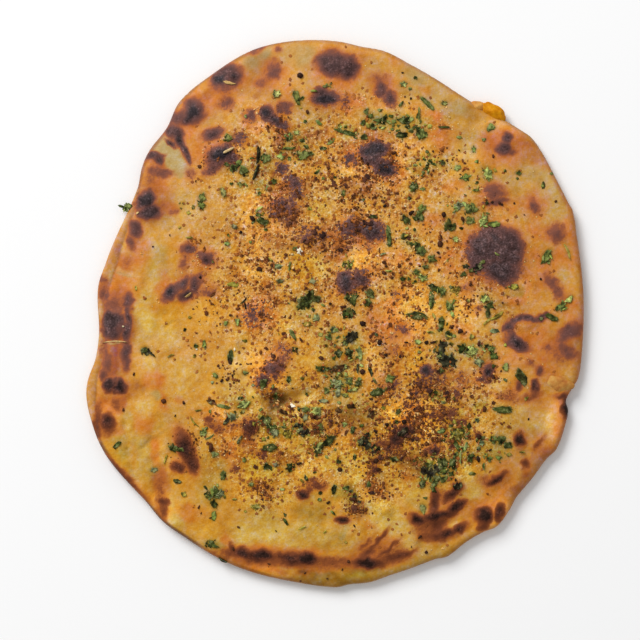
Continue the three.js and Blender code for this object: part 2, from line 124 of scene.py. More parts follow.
# Finer folds that only the looks have
WRINKLES = [
    (-84.2, -44, -83.2, -54, 0.5, -0.5), (-83.2, -54, -79.6, -66.5, 0.5, -0.6),
    (-79.6, -66.5, -79.8, -69.5, 0.6, -0.4), (-77, -53.8, -73, -49.5, 0.6, -0.45),
    (-73, -49.5, -66.4, -44.5, 0.6, 0.35), (-93, -11.3, -83, -11.2, 0.35, 0.5),
    (39.4, 63.2, 45.2, 62.4, 0.7, -0.5), (45.2, 62.4, 52.3, 65.2, 0.7, -0.5),
    (-40, -11, -39.4, -21, 0.8, 0.5), (-39.4, -21, -29.4, -37, 1, 0.5), (-27, -33.6, -20, -34.8, 1.4, -1.2),
    (-20, -34.8, -15, -33.6, 1.6, -0.9), (-24, -38.5, -27, -41, 1, -0.6),
    (13.4, -74, 20.4, -78.6, 1.6, 0.4), (20.4, -78.6, 32.4, -90, 1.6, 0.4), (62, 28, 65.2, 22.5, 0.6, -0.5),
    (-68, -5.5, -64.5, -3.4, 0.5, -0.3), (-66.5, 33, -64, 35.5, 0.5, -0.3),
]

# Where the filling breaks out: x, y, z, length, width, height, turn in degrees
OUTBREAKS = [
    (63.2, 80.9, 3.5, 11.4, 6, 5.2, -32),
    (57.2, 83.1, 3.2, 7.4, 4.4, 4.4, -14),
    (87.6, -26.9, 4.6, 15, 8.5, 5.2, -17),
]

# How far each outbreak has baked to the colour of the dough
OUTBREAKS_BAKED = (0.0, 0.85, 1.0)

# Burnt places: x, y, length, width, turn in degrees, strength, width of the soft edge
BURNS = [
    (-46.6, 93.8, 6, 5, 0, 1, 1.5), (-43.6, 96, 10, 7.4, 14, 0.86, 2.2), (-40, 94.6, 5, 4, 0, 0.97, 1.6),
    (-45.5, 91.5, 7, 4, 0, 0.6, 2.5), (-43.9, 84.3, 5, 4.5, 0, 0.6, 3), (-56.8, 81, 7, 8.5, 0, 1, 2.2),
    (-57.5, 78.3, 8.4, 4, 10, 1, 1.8), (-63.5, 79, 8, 4.2, 5, 0.8, 2), (-66, 76.3, 5, 3.5, 30, 0.5, 2.5),
    (-64.6, 72.6, 7, 4.4, -32, 0.88, 1.1), (-62.2, 69, 5, 3, -55, 0.95, 0.7),
    (-60.4, 65, 5, 2.2, -66, 0.97, 0.6), (-59.4, 61.8, 3.4, 2.2, -40, 0.92, 0.8),
    (-66.2, 68.4, 4.6, 1.5, -30, 1, 0.5), (-64, 66.2, 2, 2.4, -50, 0.5, 0.8),
    (-73, 62.8, 6, 2.6, 10, 0.85, 1), (-70, 61.4, 4, 2.2, -50, 0.92, 0.8),
    (-70, 56.6, 9, 3.6, -10, 0.55, 1.8), (-68, 57.4, 4, 1.4, -14, 0.7, 1), (-73.5, 53.5, 6, 4, 20, 0.36, 3),
    (-75.8, 46, 6.6, 5.6, 40, 0.97, 1.3), (-79.2, 44.4, 3, 4, 0, 0.6, 2),
    (-74.4, 41, 8.2, 5.8, 6, 0.92, 1.3), (-64.6, 41.2, 4, 2, 0, 0.45, 1.6),
    (-68.8, 44, 4, 2, -45, 0.35, 1.6), (-79.6, 34, 4, 5.4, 20, 0.78, 1.3),
    (-81.4, 28.4, 2.8, 4.4, 12, 0.62, 1.3), (-83.5, 20.5, 5, 6, 0, 0.3, 3),
    (-48.6, 72.2, 6.4, 3.4, 12, 0.86, 1.1), (-52, 71, 3, 2, 20, 0.6, 1.2), (-38.8, 69.7, 4, 4, 0, 0.7, 2),
    (-46, 63.6, 9.4, 6.6, 5, 1, 1.6), (-41.6, 61.4, 6, 4, -20, 0.86, 1.8),
    (-49.6, 60.4, 4, 4, 0, 0.62, 1.8), (-48.5, 58.2, 7, 3, 20, 0.75, 1.6), (-58.5, 56.3, 4, 4, 0, 0.4, 2.5),
    (-1.5, 100.3, 11.4, 8.6, 0, 0.88, 2), (3.8, 98.6, 9.6, 8.2, -15, 0.88, 2),
    (-4, 86.2, 8.8, 6, 0, 1, 1.6), (3.4, 85.3, 6, 5, 0, 0.4, 3), (-24.6, 97.6, 5.6, 6, 0, 0.62, 2.6),
    (-29.3, 92.6, 4, 3, 0, 0.5, 2), (-23.1, 105.9, 2.5, 3, 0, 0.5, 1.5),
    (-31.7, 106.4, 4, 2, 30, 0.75, 1.5), (-33.8, 78.8, 4.4, 4.2, 0, 0.78, 2),
    (-26.8, 79.6, 5, 5.6, 0, 0.98, 1.5), (-23.8, 76.9, 6.4, 3.6, -35, 1, 1.4),
    (-20.2, 75, 3.5, 2.6, -10, 0.88, 1.2), (-20, 82.6, 5, 5, 0, 0.62, 2), (18, 92.8, 8, 6, -40, 0.38, 2.8),
    (18.2, 89.6, 4.6, 4.6, 20, 0.78, 1.8), (21.8, 86.4, 5, 4.2, -45, 0.85, 1.8),
    (16, 65, 10.6, 6, 0, 0.98, 1.4), (19.7, 58.3, 8.6, 6.6, -15, 0.95, 1.6),
    (15.4, 61.8, 7, 6, 0, 0.9, 1.8), (6.2, 61.8, 4, 4.6, 0, 0.75, 1.5),
    (-21.8, 58.1, 4.4, 3.4, 0, 0.8, 1.5), (-16.6, 52.6, 5.4, 4.4, 0, 0.8, 1.5),
    (-16, 48.4, 6, 4, 0, 0.62, 1.5), (-20.3, 41.6, 10.5, 10, 0, 0.66, 2.4),
    (-9.7, 30.8, 10.5, 6, -5, 0.56, 2.4), (5.3, 34.3, 8, 7.4, 0, 0.7, 2), (14.3, 33.2, 9, 7.6, 0, 0.92, 2),
    (10, 36, 8, 5, 0, 0.7, 2), (1, 26.5, 12, 6, 0, 0.34, 3), (13, 27, 6, 4, 0, 0.36, 2),
    (68.6, 70.6, 3.4, 3.8, 0, 0.88, 1.3), (67.3, 66.2, 5.6, 5, -20, 0.86, 1.4),
    (71, 64.8, 2.4, 1.6, 0, 0.6, 1.2), (63.4, 48.2, 7, 6.2, 0, 0.52, 2.4), (63.6, 44.2, 7, 1.6, 5, 0.7, 1),
    (79, 43.4, 2.6, 4.6, 14, 0.66, 1.5), (61, 27, 15, 14, 0, 0.9, 2.5), (68.6, 25.6, 12, 15, 0, 0.9, 2.3),
    (66, 18, 14, 10, 0, 0.92, 2.5), (57, 22, 9, 10, 0, 0.85, 2), (64, 32, 10, 6, 0, 0.85, 2),
    (66.5, 13.5, 8, 4, -20, 0.75, 2), (88.4, 31.8, 5.4, 5.8, 0, 0.58, 2.6),
    (86.4, 13, 6, 3.2, -50, 0.6, 1.8), (89.3, 9, 5, 3, -60, 0.52, 2), (93.6, -7.4, 9, 5, 38, 0.74, 2),
    (93, -14.8, 7, 3.6, -35, 0.58, 2), (69, -4.8, 4.6, 3, 50, 0.97, 1.2), (72.5, -2.2, 5, 2, 20, 0.97, 1),
    (77.5, -2, 7, 1.8, 0, 0.97, 1), (82.4, -1.4, 4, 1.6, 10, 0.95, 1), (72.9, -11.6, 8, 4, -25, 0.97, 1.6),
    (69.4, -8, 4, 2.8, -60, 0.56, 1.5), (24.2, 8, 4, 4, 0, 0.5, 2), (4.2, 12.8, 6.5, 9, 10, 0.95, 2),
    (9.6, 13.5, 7, 5.6, 0, 0.85, 2), (-31.2, 0.5, 12, 8, 35, 0.46, 2.4), (-33.5, -1.3, 5, 4, 0, 0.72, 1.8),
    (-24.6, -22, 18, 5.5, 52, 0.56, 2), (-29, -27, 5, 4, 60, 0.9, 1.5),
    (-25.8, -22, 4.4, 3.6, 50, 0.85, 1.5), (-21, -14.5, 6, 7, 50, 0.4, 2),
    (-58.8, 25.7, 4, 3.2, 0, 0.94, 1.6), (-60.7, 19.6, 2.4, 4.4, -10, 0.55, 2),
    (-51.4, 22.4, 5.4, 4, -10, 0.86, 1.7), (-47.5, 21.5, 4, 4, 0, 0.34, 2.5),
    (-65.8, 8.3, 6.4, 3.8, 38, 1, 1.6), (-61.3, 11.8, 4.6, 3, 50, 0.97, 1.4),
    (-59.4, 7.4, 5.2, 3, 35, 0.95, 1.2), (-56, 11.8, 3, 4.6, 10, 0.95, 1.4), (-53.8, 15, 2.6, 3, 0, 0.5, 2),
    (-50.5, 9.3, 6, 4, 0, 0.48, 2.5), (-89.4, -3, 7.4, 7.6, 0, 0.92, 1.3), (-90, -7, 7, 6.4, 0, 0.88, 1.4),
    (-85.8, -3.6, 2.6, 6, 0, 0.8, 1.2), (-89, 3, 7, 8, 0, 0.46, 3), (-83.2, 5.4, 3, 4.4, 0, 0.92, 1.4),
    (-82.4, -1.4, 8, 2.2, 92, 0.92, 1.1), (-83.4, -7, 5.4, 2.8, 80, 0.92, 1.2),
    (-84, -15.5, 7.4, 2.8, 88, 0.88, 1.4), (-83.6, -20, 5, 2.4, 90, 0.7, 1.4),
    (-92.8, 8, 3, 6, 10, 0.72, 1.5), (-93.4, 14, 3, 2.6, 0, 0.66, 1.5), (-92.4, -15, 2.4, 12, 0, 0.52, 1.6),
    (-91.4, -20, 4, 6, 0, 0.55, 2), (-90.3, -28.4, 4.6, 4.8, 0, 0.95, 1.1),
    (-86.2, -28.8, 4.6, 4.6, 0, 0.97, 1.1), (-93, -24.5, 3, 4, 0, 0.7, 1.5),
    (-95.7, -45, 2.5, 12, -5, 0.8, 1.5), (-91.4, -43.4, 4.6, 6, -10, 0.94, 1.6),
    (-91, -47, 4, 3, 30, 0.6, 1.8), (-93.6, -43.4, 2.6, 5, 0, 0.5, 1.6), (-87, -36, 4, 5, 0, 0.45, 2),
    (-86, -63.5, 18, 2.2, -44, 0.7, 1.2), (-60, -53.4, 12, 4.6, -68, 0.95, 1.8),
    (-57.2, -59.4, 7, 3.6, -75, 0.9, 1.6), (-63.1, -60.8, 4.2, 3.4, 0, 0.9, 1.5),
    (-34.2, -45.6, 5.6, 8, 0, 0.88, 2), (-47.5, -45, 5, 4, -40, 0.62, 2), (-50, -42.5, 3, 3, 0, 0.7, 1.5),
    (-40, -44.5, 3.5, 2.5, 0, 0.55, 1.5), (-69.7, -70, 12, 3.4, 86, 0.4, 1.8),
    (-69, -77.5, 6, 3, 90, 0.5, 1.5), (-68.8, -74.8, 3, 2, 0, 0.75, 1), (-33, -96.4, 18, 4.4, -4, 0.8, 1.6),
    (-15, -97.8, 15, 4.6, -6, 0.84, 1.6), (-37, -96, 6.4, 3.2, -8, 0.97, 1),
    (-29.6, -96.1, 9.6, 3.4, -10, 1, 1), (-40.8, -93.9, 4, 1.8, 110, 0.7, 1),
    (-18.5, -96.8, 8, 3, -10, 0.95, 1), (-11.6, -97.8, 7, 4.8, -10, 1, 1.2),
    (-25, -98, 40, 4.6, -4, 0.46, 2.4), (0, -99.8, 16, 3.6, -5, 0.5, 2), (13, -99.3, 10.6, 4.6, -4, 1, 1.2),
    (23.6, -97.3, 10, 3.5, 12, 0.66, 2), (17.4, -90.4, 9, 1.5, 52, 0.66, 0.8),
    (21.4, -93.4, 9, 1.6, 40, 0.66, 0.8), (13, -95, 8, 2.4, 40, 0.7, 1.2), (26.6, -96.6, 7, 2, 22, 0.8, 1),
    (12, -92, 6, 1.6, 44, 0.5, 0.9), (20, -95, 12, 5, 20, 0.36, 2.4), (32.8, -81.8, 5.6, 3.2, -20, 1, 1.2),
    (41, -80.6, 10, 3, 12, 1, 1.1), (47.4, -77.2, 7.4, 2.6, 28, 1, 1), (39.6, -76, 9, 2.8, 88, 0.8, 1.2),
    (40.4, -84.6, 5, 9, 0, 0.66, 2), (37, -85, 9, 6, 10, 0.5, 2.5), (40, -89, 8, 3, 0, 0.75, 2),
    (44.6, -88, 7, 2.8, 6, 0.97, 1.1), (50, -85.8, 5.4, 2.6, 40, 0.97, 1.1),
    (59.3, -80.2, 6.4, 5.6, 0, 1, 1.3), (59, -84.4, 4, 2.6, 30, 0.7, 1.5),
    (66, -79, 4.8, 2.6, 82, 0.9, 1.1), (63.8, -65.9, 7.4, 2.6, 26, 1, 0.9), (58.6, -66.2, 4, 3, 0, 0.4, 2),
    (46.6, -71.6, 7, 3.2, 45, 0.9, 1.5), (48.6, -68.6, 4, 3, 0, 0.8, 1.5), (41, -72, 5, 4, 0, 0.4, 2),
    (73.8, -50.2, 4, 5.2, 0, 1, 1.1), (79.6, -28.4, 2.4, 3, 0, 0.95, 1), (79.6, -31, 2, 4, 0, 0.6, 1.4),
    (73, -28.8, 2.2, 3, 0, 0.85, 1.2), (81.3, -22.5, 2.4, 3, 0, 0.8, 1.5), (77.8, -19.5, 3, 2, 0, 0.5, 1.5),
    (70, -33.4, 7, 3, -10, 0.5, 2), (78.5, -33, 5, 2.6, 30, 0.6, 1.8), (84.5, -13.5, 4, 3, 0, 0.42, 2),
    (91, -12.4, 3, 4, 0, 0.5, 1.5), (75.7, -59.8, 2.6, 3.6, 0, 0.74, 1.5),
    (81.3, -52.4, 5, 1.5, 63, 0.6, 1.1), (92.4, -38, 3.4, 7.4, 5, 1, 0.8), (91.5, -33.3, 4, 2, 0, 0.75, 1),
    (39.2, -54.2, 6, 3.2, 0, 1, 0.9), (46.6, -53.2, 3, 2.6, 30, 0.96, 0.9), (41, -51.5, 8, 3, 0, 0.5, 2),
    (24.5, -48.5, 11, 4.2, 55, 0.92, 1.4), (28, -46.5, 4.4, 4.4, 0, 0.85, 1.4),
    (19.5, -52, 5, 4, 0, 0.74, 1.5), (22, -56, 8, 4, 0, 0.46, 2), (36, -22.6, 3.8, 3.8, 0, 1, 0.9),
    (35, -28, 4, 8, 0, 0.58, 1.8), (40, -26, 9, 7, 0, 0.44, 2.4), (33, -32.5, 5, 4, 0, 0.5, 1.8),
    (60.8, -22.4, 3.2, 4.6, -15, 1, 1), (59.2, -26.4, 3.4, 1.4, 0, 0.9, 0.8),
    (50.3, -25.3, 4, 4, 0, 0.5, 2), (24, -28, 4, 8, 15, 0.36, 2.4), (21.5, -32.5, 4, 4, 0, 0.36, 2),
    (25, -32, 3, 5, 0, 0.4, 2), (43, -40.5, 16, 7, 0, 0.5, 2.5), (46.8, -39.5, 4, 4, 0, 0.8, 1.5),
    (48.3, -33, 3, 6, 0, 0.66, 1.5), (30, -36.5, 5, 3, 0, 0.55, 1.5), (36, -40, 6, 4, 0, 0.6, 1.5),
    (50.5, -42.5, 3, 3, 0, 0.75, 1.5), (26.5, -6, 4.5, 4.5, 0, 0.5, 2), (23.6, -15.5, 2.5, 6, 0, 0.45, 2),
    (23, -10, 3, 3, 0, 0.38, 1.5), (56.4, 1.6, 3.5, 3, 0, 0.55, 1.5), (53.6, 9.4, 4.5, 3, 0, 0.45, 2),
    (57.2, -48.5, 2.8, 3, 0, 0.8, 1.5), (-12.6, -72.2, 3.8, 3.4, 0, 1, 1),
    (-7.6, -67.6, 6, 2.6, -15, 0.72, 1.5), (-10.5, -69.6, 4, 2.4, 40, 0.6, 1.5),
    (2.9, -82.5, 4, 2.4, 0, 1, 0.9), (-27.5, -71, 6, 5, 0, 0.4, 2.5), (-29, -55.5, 4, 3, 0, 0.7, 1.5),
    (-40.5, -61.5, 4, 3, 0, 0.55, 1.5), (19, -70.5, 8, 5, 0, 0.32, 2.5), (8, -76.5, 8, 5, 0, 0.3, 2.5),
    (16.5, -61.8, 3.6, 3.2, 0, 0.85, 1.3), (15.8, -58.8, 3.4, 2.4, 0, 0.85, 1.2),
    (27.4, -65.3, 3, 2.6, 0, 0.45, 1.5), (-27, -31.5, 4, 3, 0, 0.5, 1.5), (89, -16, 12, 7, -30, 0.3, 3),
]

# Places where the skin has flaked off and pale dough shows, with a clean edge
FLAKED = [
    (-65.2, 62.4, 17, 7, -64, 1), (-69.8, 67.4, 9, 6, 40, 0.9), (-62.4, 57, 6, 2.6, -80, 0.9),
    (-88.2, -11.4, 12, 1.2, 1, 0.9), (-84.6, 15.8, 7, 1.4, -16, 0.6),
]

# Broad tones of the dough, with painted light and shade round the tear in the rows marked below: x, y,
# length, width, turn in degrees, strength
TINTS = {
    "khaki": [
        (-12, -34, 11, 7, 0, 0.7), (-12, -3, 8, 6, 0, 0.4), (-72, 16, 8, 34, -14, 0.9),
        (-76, -4, 12, 16, 0, 0.8), (-79, -58, 16, 24, 35, 0.95), (-68, -58, 6, 9, 0, 0.8),
        (-83.5, -43, 6, 12, 0, 0.9), (-59, 47, 9, 8, 0, 0.8), (-52, 78, 9, 8, 0, 0.5),
        (-46, -64, 8, 10, 0, 0.6), (-42, -30, 12, 12, 0, 0.7), (-60, 34, 14, 8, 30, 0.5),
        (14, 98, 8, 8, 0, 0.7), (-9, 94, 10, 8, 0, 0.6), (48.7, 80, 18, 12, -35, 0.8),
        (53, 67, 12, 12, 0, 0.8), (59.4, 70, 6, 9, 0, 0.7), (45.6, 63, 10, 6, 20, 0.6),
        (79, 57, 16, 10, -30, 0.9), (85.5, 48, 11, 26, 18, 0.95), (71, 52, 12, 8, 0, 0.6),
        (87, 40, 8, 8, 0, 0.8), (74.5, 38.5, 10, 6, 0, 0.7), (91.6, 16, 6, 8, 0, 0.8),
        (79.5, -47, 12, 6, 0, 0.7), (85, -39, 7, 10, 0, 0.5), (83, 25, 6, 6, 0, 0.5),
        (72, -45, 8, 6, 0, 0.6), (57, -34, 6, 12, 0, 0.7), (58, -17, 9, 10, 0, 0.6),
        (-36, -87, 14, 8, -10, 0.7), (-18, -87, 26, 8, 0, 0.8), (0, -90, 16, 7, 0, 0.8),
        (-1, -60, 22, 9, 0, 0.7), (31.8, -75, 12, 8, 0, 0.7), (27, -87, 16, 11, -40, 0.9),
        (32, -95.5, 10, 6, 0, 0.7), (40, -94, 9, 6, 20, 0.6), (22, -103.8, 22, 4, 14, 0.7),
        (-20.6, -101.5, 12, 3.4, -6, 0.7), (-63.6, -82, 11, 8, -45, 0.9), (-51, -67, 8, 9, 0, 0.6),
        (53, -3, 10, 8, 0, 0.5), (2, -72, 8, 6, 0, 0.5), (-16, -55, 8, 8, 0, 0.5), (36, -71, 9, 5, 0, 0.6),
        (64, -6, 8, 6, 0, 0.4), (-8, 48, 14, 14, 0, 0.35), (-24, -74, 10, 8, 0, 0.5),
        (61, 5, 10, 12, 0, 0.4), (38, 96, 12, 5, -33, 0.6),
    ],
    "gold": [
        (30, 0, 22, 18, 0, 0.5), (50, 2, 18, 14, 0, 0.45), (-30, -8, 26, 24, 0, 0.45),
        (10, 21, 14, 10, 0, 0.5), (55, -80, 16, 4, 42, 0.7), (48, -83.6, 9, 2.6, 35, 0.7),
        (-30, 26, 20, 16, 0, 0.35), (22, -14, 24, 20, 0, 0.4), (-54, -25, 26, 24, 0, 0.5),
        (-60, 0, 22, 16, 0, 0.6), (51.7, 75, 12, 9, 0, 0.7), (28, 4, 13, 15, 0, 0.9),
        (-22, -5.7, 16, 11, 0, 0.8), (-31, -12, 10, 10, 0, 0.6), (-11, -8, 12, 8, 0, 0.6),
        (29.5, -14, 11, 9, 0, 0.7), (-14.5, -81, 12, 9, 0, 0.6), (-51, -86, 9, 9, 0, 0.8),
        (10, -63, 12, 9, 0, 0.6), (40, -44, 9, 4, 0, 0.7), (-27.5, -31, 7, 5, 40, 0.8),
        (14, -36, 8, 6, 0, 0.5), (6, -32, 10, 6, 0, 0.6), (-70, 30, 8, 8, 0, 0.5),
        (50.2, 7.6, 7, 6, 0, 0.7), (91, -21.8, 9, 6, 0, 0.7), (25.7, 65, 9, 6, 0, 0.5),
        (-63, 21, 6, 8, 0, 0.6),
    ],
    "amber": [
        (56, 81.6, 6, 4, 0, 0.8), (-16, -78, 6, 8, 0, 0.4), (14, -80, 5, 6, 0, 0.3),
        (-39, 20, 9, 7, 0, 0.6), (-13, 19, 10, 7, 0, 0.6), (-14.5, -27.5, 16, 7, 0, 0.6),
        (-69, 2, 10, 6, 0, 0.5), (-66.6, -47.8, 8, 5, 0, 0.6), (22, -66, 8, 6, 0, 0.5),
        (-38.3, -100.8, 10, 4, -15, 0.8), (45.6, -94.6, 8, 6, 30, 0.8), (31.8, -52.5, 11, 15, 0, 0.8),
        (64, -43, 15, 9, 0, 0.5), (38, 52, 9, 13, 0, 0.5), (56, 80, 10, 7, 40, 0.6),
        (-76, -72, 8, 12, 40, 0.5), (-40, 12, 12, 8, 0, 0.4), (10, -28, 14, 8, 0, 0.5),
        (93, -28.5, 7, 5, 0, 0.8),
    ],
    "orange": [
        (-33, -93, 26, 3, -2, 0.7), (-12, -93.6, 20, 3, -4, 0.7), (-33, -101, 24, 3.6, -8, 0.8),
        (-6, -103.4, 14, 4, -4, 0.7), (14.4, -83.4, 6, 2.4, 20, 0.9), (85, -36, 12, 8, 0, 0.4),
        (-24, 97, 11, 10, 0, 0.9), (-22, 91, 10, 7, 0, 0.6), (-46, 87, 16, 12, 0, 0.9),
        (-56, 85, 10, 12, 0, 0.8), (-60, 73, 9, 10, 0, 0.9), (-33, 76, 10, 8, 0, 0.7),
        (-73, 59, 8, 8, 0, 0.9), (-69, 50, 12, 9, 0, 0.85), (-67, 44, 8, 7, 0, 0.9),
        (-78, 24, 8, 12, -20, 0.8), (-85, 18, 8, 10, 0, 0.8), (-69.7, 13, 5, 10, 0, 1),
        (-86, 12, 12, 9, 0, 0.9), (-75, 3, 6, 6, 0, 0.5), (-53, 22, 16, 12, 0, 0.8),
        (-56, 12, 20, 12, 0, 0.7), (-50, 66, 16, 16, 0, 0.7), (-72, -25.6, 12, 9, 0, 0.9),
        (-90, -36.3, 12, 8, 0, 0.8), (-69, -35.6, 3.6, 12, 0, 0.8), (-61.3, -34.8, 5, 4, 0, 0.8),
        (-76.6, -43.2, 8, 13, 0, 0.9), (-87, -47, 6, 6, 0, 0.7), (-72, -54.7, 4, 12, 0, 0.9),
        (-59, -78.5, 10, 7, 0, 0.8), (-45, -90, 5, 9, 0, 0.9), (-42, -54.7, 9, 11, 0, 0.9),
        (-40, -47, 8, 6, 0, 0.7), (25, 100, 10, 5, -20, 0.6), (36, 90, 8, 5, -30, 0.5),
        (80, -42, 8, 5, 10, 0.5), (5.4, 83, 13, 9, 0, 0.9), (2, 85, 20, 14, 0, 0.5),
        (28, 100, 12, 4, -30, 0.7), (39.5, 77.4, 7, 7, 0, 0.9), (44, 70, 12, 9, 0, 0.85),
        (79, 64.5, 15, 9, -40, 0.7), (68, 67, 20, 18, 0, 0.9), (63.5, 47, 15, 13, 0, 0.8),
        (79.5, 43, 12, 11, 0, 0.8), (72, 41.5, 8, 6, 0, 0.7), (82, 33, 12, 10, 0, 0.8),
        (94, 30, 5, 26, 0, 0.8), (89, 21.5, 9, 8, 0, 0.8), (80, 16, 14, 22, 0, 0.9), (94, 3, 9, 16, 0, 0.8),
        (72, 8, 12, 9, 0, 0.8), (44, 22, 11, 14, 0, 0.8), (38, 36, 12, 9, 0, 0.7), (48.5, 51, 9, 9, 0, 0.7),
        (24, 53.5, 10, 8, 0, 0.8), (25.7, 23, 14, 9, 0, 0.7), (20, 2, 12, 9, 0, 0.8),
        (18, -5, 16, 15, 0, 0.8), (26, -10, 14, 12, 0, 0.8), (50, -7, 7, 6, 0, 0.7),
        (45, -13, 8, 6, 0, 0.5), (76, -8, 20, 12, 0, 0.75), (73, -16.5, 16, 9, 0, 0.7),
        (86, -15.5, 12, 14, 0, 0.9), (85.5, -24, 10, 8, 0, 0.7), (67, -31, 14, 7, 0, 0.6),
        (89, -45.5, 6, 12, 0, 0.7), (83, -52, 10, 12, 50, 0.8), (68, -61, 14, 9, 30, 0.7),
        (64, -72, 22, 7, 45, 0.7), (14.2, -83, 6, 5, 0, 0.9), (53, -79, 12, 5, 40, 0.6),
        (29, -65, 6, 6, 0, 0.7), (8, 30, 26, 10, 0, 0.5), (-20, 34, 12, 6, 0, 0.4),
        (58, 26, 34, 34, 0, 0.6), (60, -24, 14, 14, 0, 0.5), (3, -47, 14, 6, 0, 0.6),
        (-37, -97, 16, 8, 0, 0.8), (16, 60, 20, 20, 0, 0.5), (-81, -57.5, 3, 10, 0, 0.3),
        (-52, -40, 14, 6, 0, 0.5), (1, 98, 24, 18, 0, 0.8), (20, 89, 14, 14, 0, 0.7),
        (20, -91, 16, 6, 30, 0.8), (24, -27, 26, 14, 0, 0.5),
    ],
    "rust": [
        (-12, -104, 12, 3.4, -6, 0.8), (12, -103, 12, 4, 8, 0.5), (-22, -103.4, 8, 3, -8, 0.6),
        (-6, -105, 9, 3, 0, 0.5), (6, -104.4, 7, 3, 0, 0.5), (-32, 92, 16, 14, 0, 0.5),
        (-12, -103, 6, 4, 0, 0.5), (-46, -99, 8, 3, -24, 0.5), (70, -72, 4, 9, -35, 0.4),
        (-50, 89, 10, 5, 40, 0.6), (-31.4, 88, 9, 5, 0, 0.7), (-80.5, 32, 5, 14, -10, 0.8),
        (-86, 6, 12, 10, 0, 0.7), (-88, -8, 14, 22, 0, 0.9), (-89.7, -17, 11, 16, 0, 0.95),
        (-84, -30, 14, 8, 0, 0.8), (-85.8, -36, 4, 7, 0, 0.7), (-70.5, -67, 6, 14, 0, 0.9),
        (-71, -79, 5, 10, 20, 0.8), (-35, -51.7, 5, 7, 0, 0.8), (-48, -44, 9, 6, 0, 0.7),
        (-20.6, 27.6, 15, 6, 0, 0.75), (-2, 25, 15, 9, 0, 0.85), (-27.5, 30, 7, 5, 0, 0.7),
        (-22, 70.5, 6, 9, 0, 0.7), (-9, 71, 8, 7, 0, 0.6), (7, 66, 8, 8, 0, 0.6), (10, 28, 12, 6, 0, 0.7),
        (10, 50, 18, 9, 0, 0.6), (80, 63, 8, 5, -40, 0.4), (88, 31.5, 9, 9, 0, 0.5),
        (86.3, 10, 12, 5, -55, 0.6), (58.7, 11.5, 12, 6, 0, 0.6), (52.5, 10, 6, 5, 0, 0.6),
        (21.8, -15.6, 6, 6, 0, 0.7), (25.7, -30, 16, 14, 0, 0.5), (21, -33.5, 8, 5, 0, 0.6),
        (40, -26, 14, 12, 0, 0.45), (50.2, -26.4, 8, 8, 0, 0.7), (-9, -44, 9, 5, 0, 0.7),
        (-20.6, -57, 10, 6, 0, 0.6), (-28.3, -68.5, 12, 9, 0, 0.7), (17.2, -70, 12, 14, -30, 0.8),
        (7.3, -77.8, 12, 7, 0, 0.8), (67.9, -33.3, 12, 4, -8, 0.7), (78.6, -33, 8, 5, 30, 0.7),
        (74.7, -67, 5, 16, -40, 0.7), (81.6, -58, 7, 12, -35, 0.6), (59.4, -66, 7, 3, 10, 0.8),
        (43, -82, 26, 12, 20, 0.6), (41, -75, 6, 8, 0, 0.9), (17, -95, 26, 13, 10, 0.5),
        (-16, -98.5, 56, 7, -5, 0.9), (91, -12, 9, 14, 20, 0.7), (90, -34.5, 5, 4, 0, 0.8),
        (97, -5, 4, 12, 0, 0.5), (-60, -54, 12, 18, 0, 0.5), (-31, 0, 16, 12, 30, 0.6),
        (-22, -17, 10, 14, -30, 0.6), (-20, 42, 16, 20, 0, 0.7), (27, -6, 8, 8, 0, 0.5),
        (60, -80, 14, 10, 30, 0.6), (-5, 30, 14, 8, 0, 0.5), (16, 18, 6, 6, 0, 0.4), (-50, 9, 9, 6, 0, 0.6),
    ],
    "maroon": [
        (-91.6, -18, 4.4, 16, 0, 0.9), (-12.4, -100.6, 9, 2.6, 0, 0.9), (-1, -100.8, 14, 2.4, -3, 0.7),
        (-30, -99, 20, 2, -6, 0.6), (-89, -13, 10.4, 20, 0, 1), (-89, -22, 10, 12, 0, 0.8),
        (-85, -32, 6, 7, 0, 0.3), (-90.5, 5, 5, 9, 0, 0.5), (-91, -33, 5, 6, 0, 0.4),
        (-73, 58, 8, 8, 0, 0.35), (68, 68, 19, 13, 0, 0.36), (76, 67, 10, 14, 40, 0.4),
        (-84, 20.5, 6, 8, 0, 0.3), (17, 71, 13, 5, 0, 0.5), (63, 49, 12, 10, 0, 0.3),
        (78, 44.5, 9, 8, 0, 0.36), (18, 93, 11, 10, 0, 0.3), (75.5, -66, 5, 18, -38, 0.5),
        (81, -57, 5, 10, -35, 0.4), (95.5, -14, 4, 22, 0, 0.35), (-66, 75.5, 6, 5, 30, 0.4),
        (38, -85, 12, 8, 10, 0.5), (-24, 82, 12, 8, 0, 0.3),
    ],
    "olive": [
        (-37.5, 53, 8, 6, 0, 0.6), (-30, 50, 8, 6, 0, 0.6), (-16, 67, 12, 10, 0, 0.55),
        (-60, 42, 5, 6, 0, 0.5), (24, 76, 30, 8, -8, 0.7), (4, 73, 12, 5, -15, 0.6), (38, 61, 9, 7, 0, 0.6),
        (33, 58, 8, 8, 0, 0.5), (60, 56, 8, 8, 0, 0.4), (54, 50, 8, 6, 0, 0.4), (52, 40, 18, 10, 0, 0.4),
        (32, 14.5, 7, 6, 0, 0.5), (21, 30.5, 5, 9, 0, 0.5), (30, 29, 6, 10, 0, 0.5),
        (5, 20.5, 5, 5, 0, 0.8), (-11, 5, 13, 12, 0, 0.5), (8.8, -15.6, 8, 13, 0, 0.7),
        (0, -10, 12, 10, 0, 0.5), (2, -28, 16, 14, 0, 0.6), (44, -12, 12, 16, 0, 0.5),
        (54, -14, 18, 8, 0, 0.5), (44, 5, 12, 14, 0, 0.4), (-20.6, -45.5, 14, 9, 0, 0.8),
        (-28, -44, 10, 12, 0, 0.6), (-11.4, -64.7, 6, 5, 0, 0.6), (-8, -50, 16, 12, 40, 0.5),
        (48.7, -47, 12, 9, 0, 0.55), (51.7, -55.5, 12, 10, 0, 0.7), (62, -54, 18, 9, 0, 0.6),
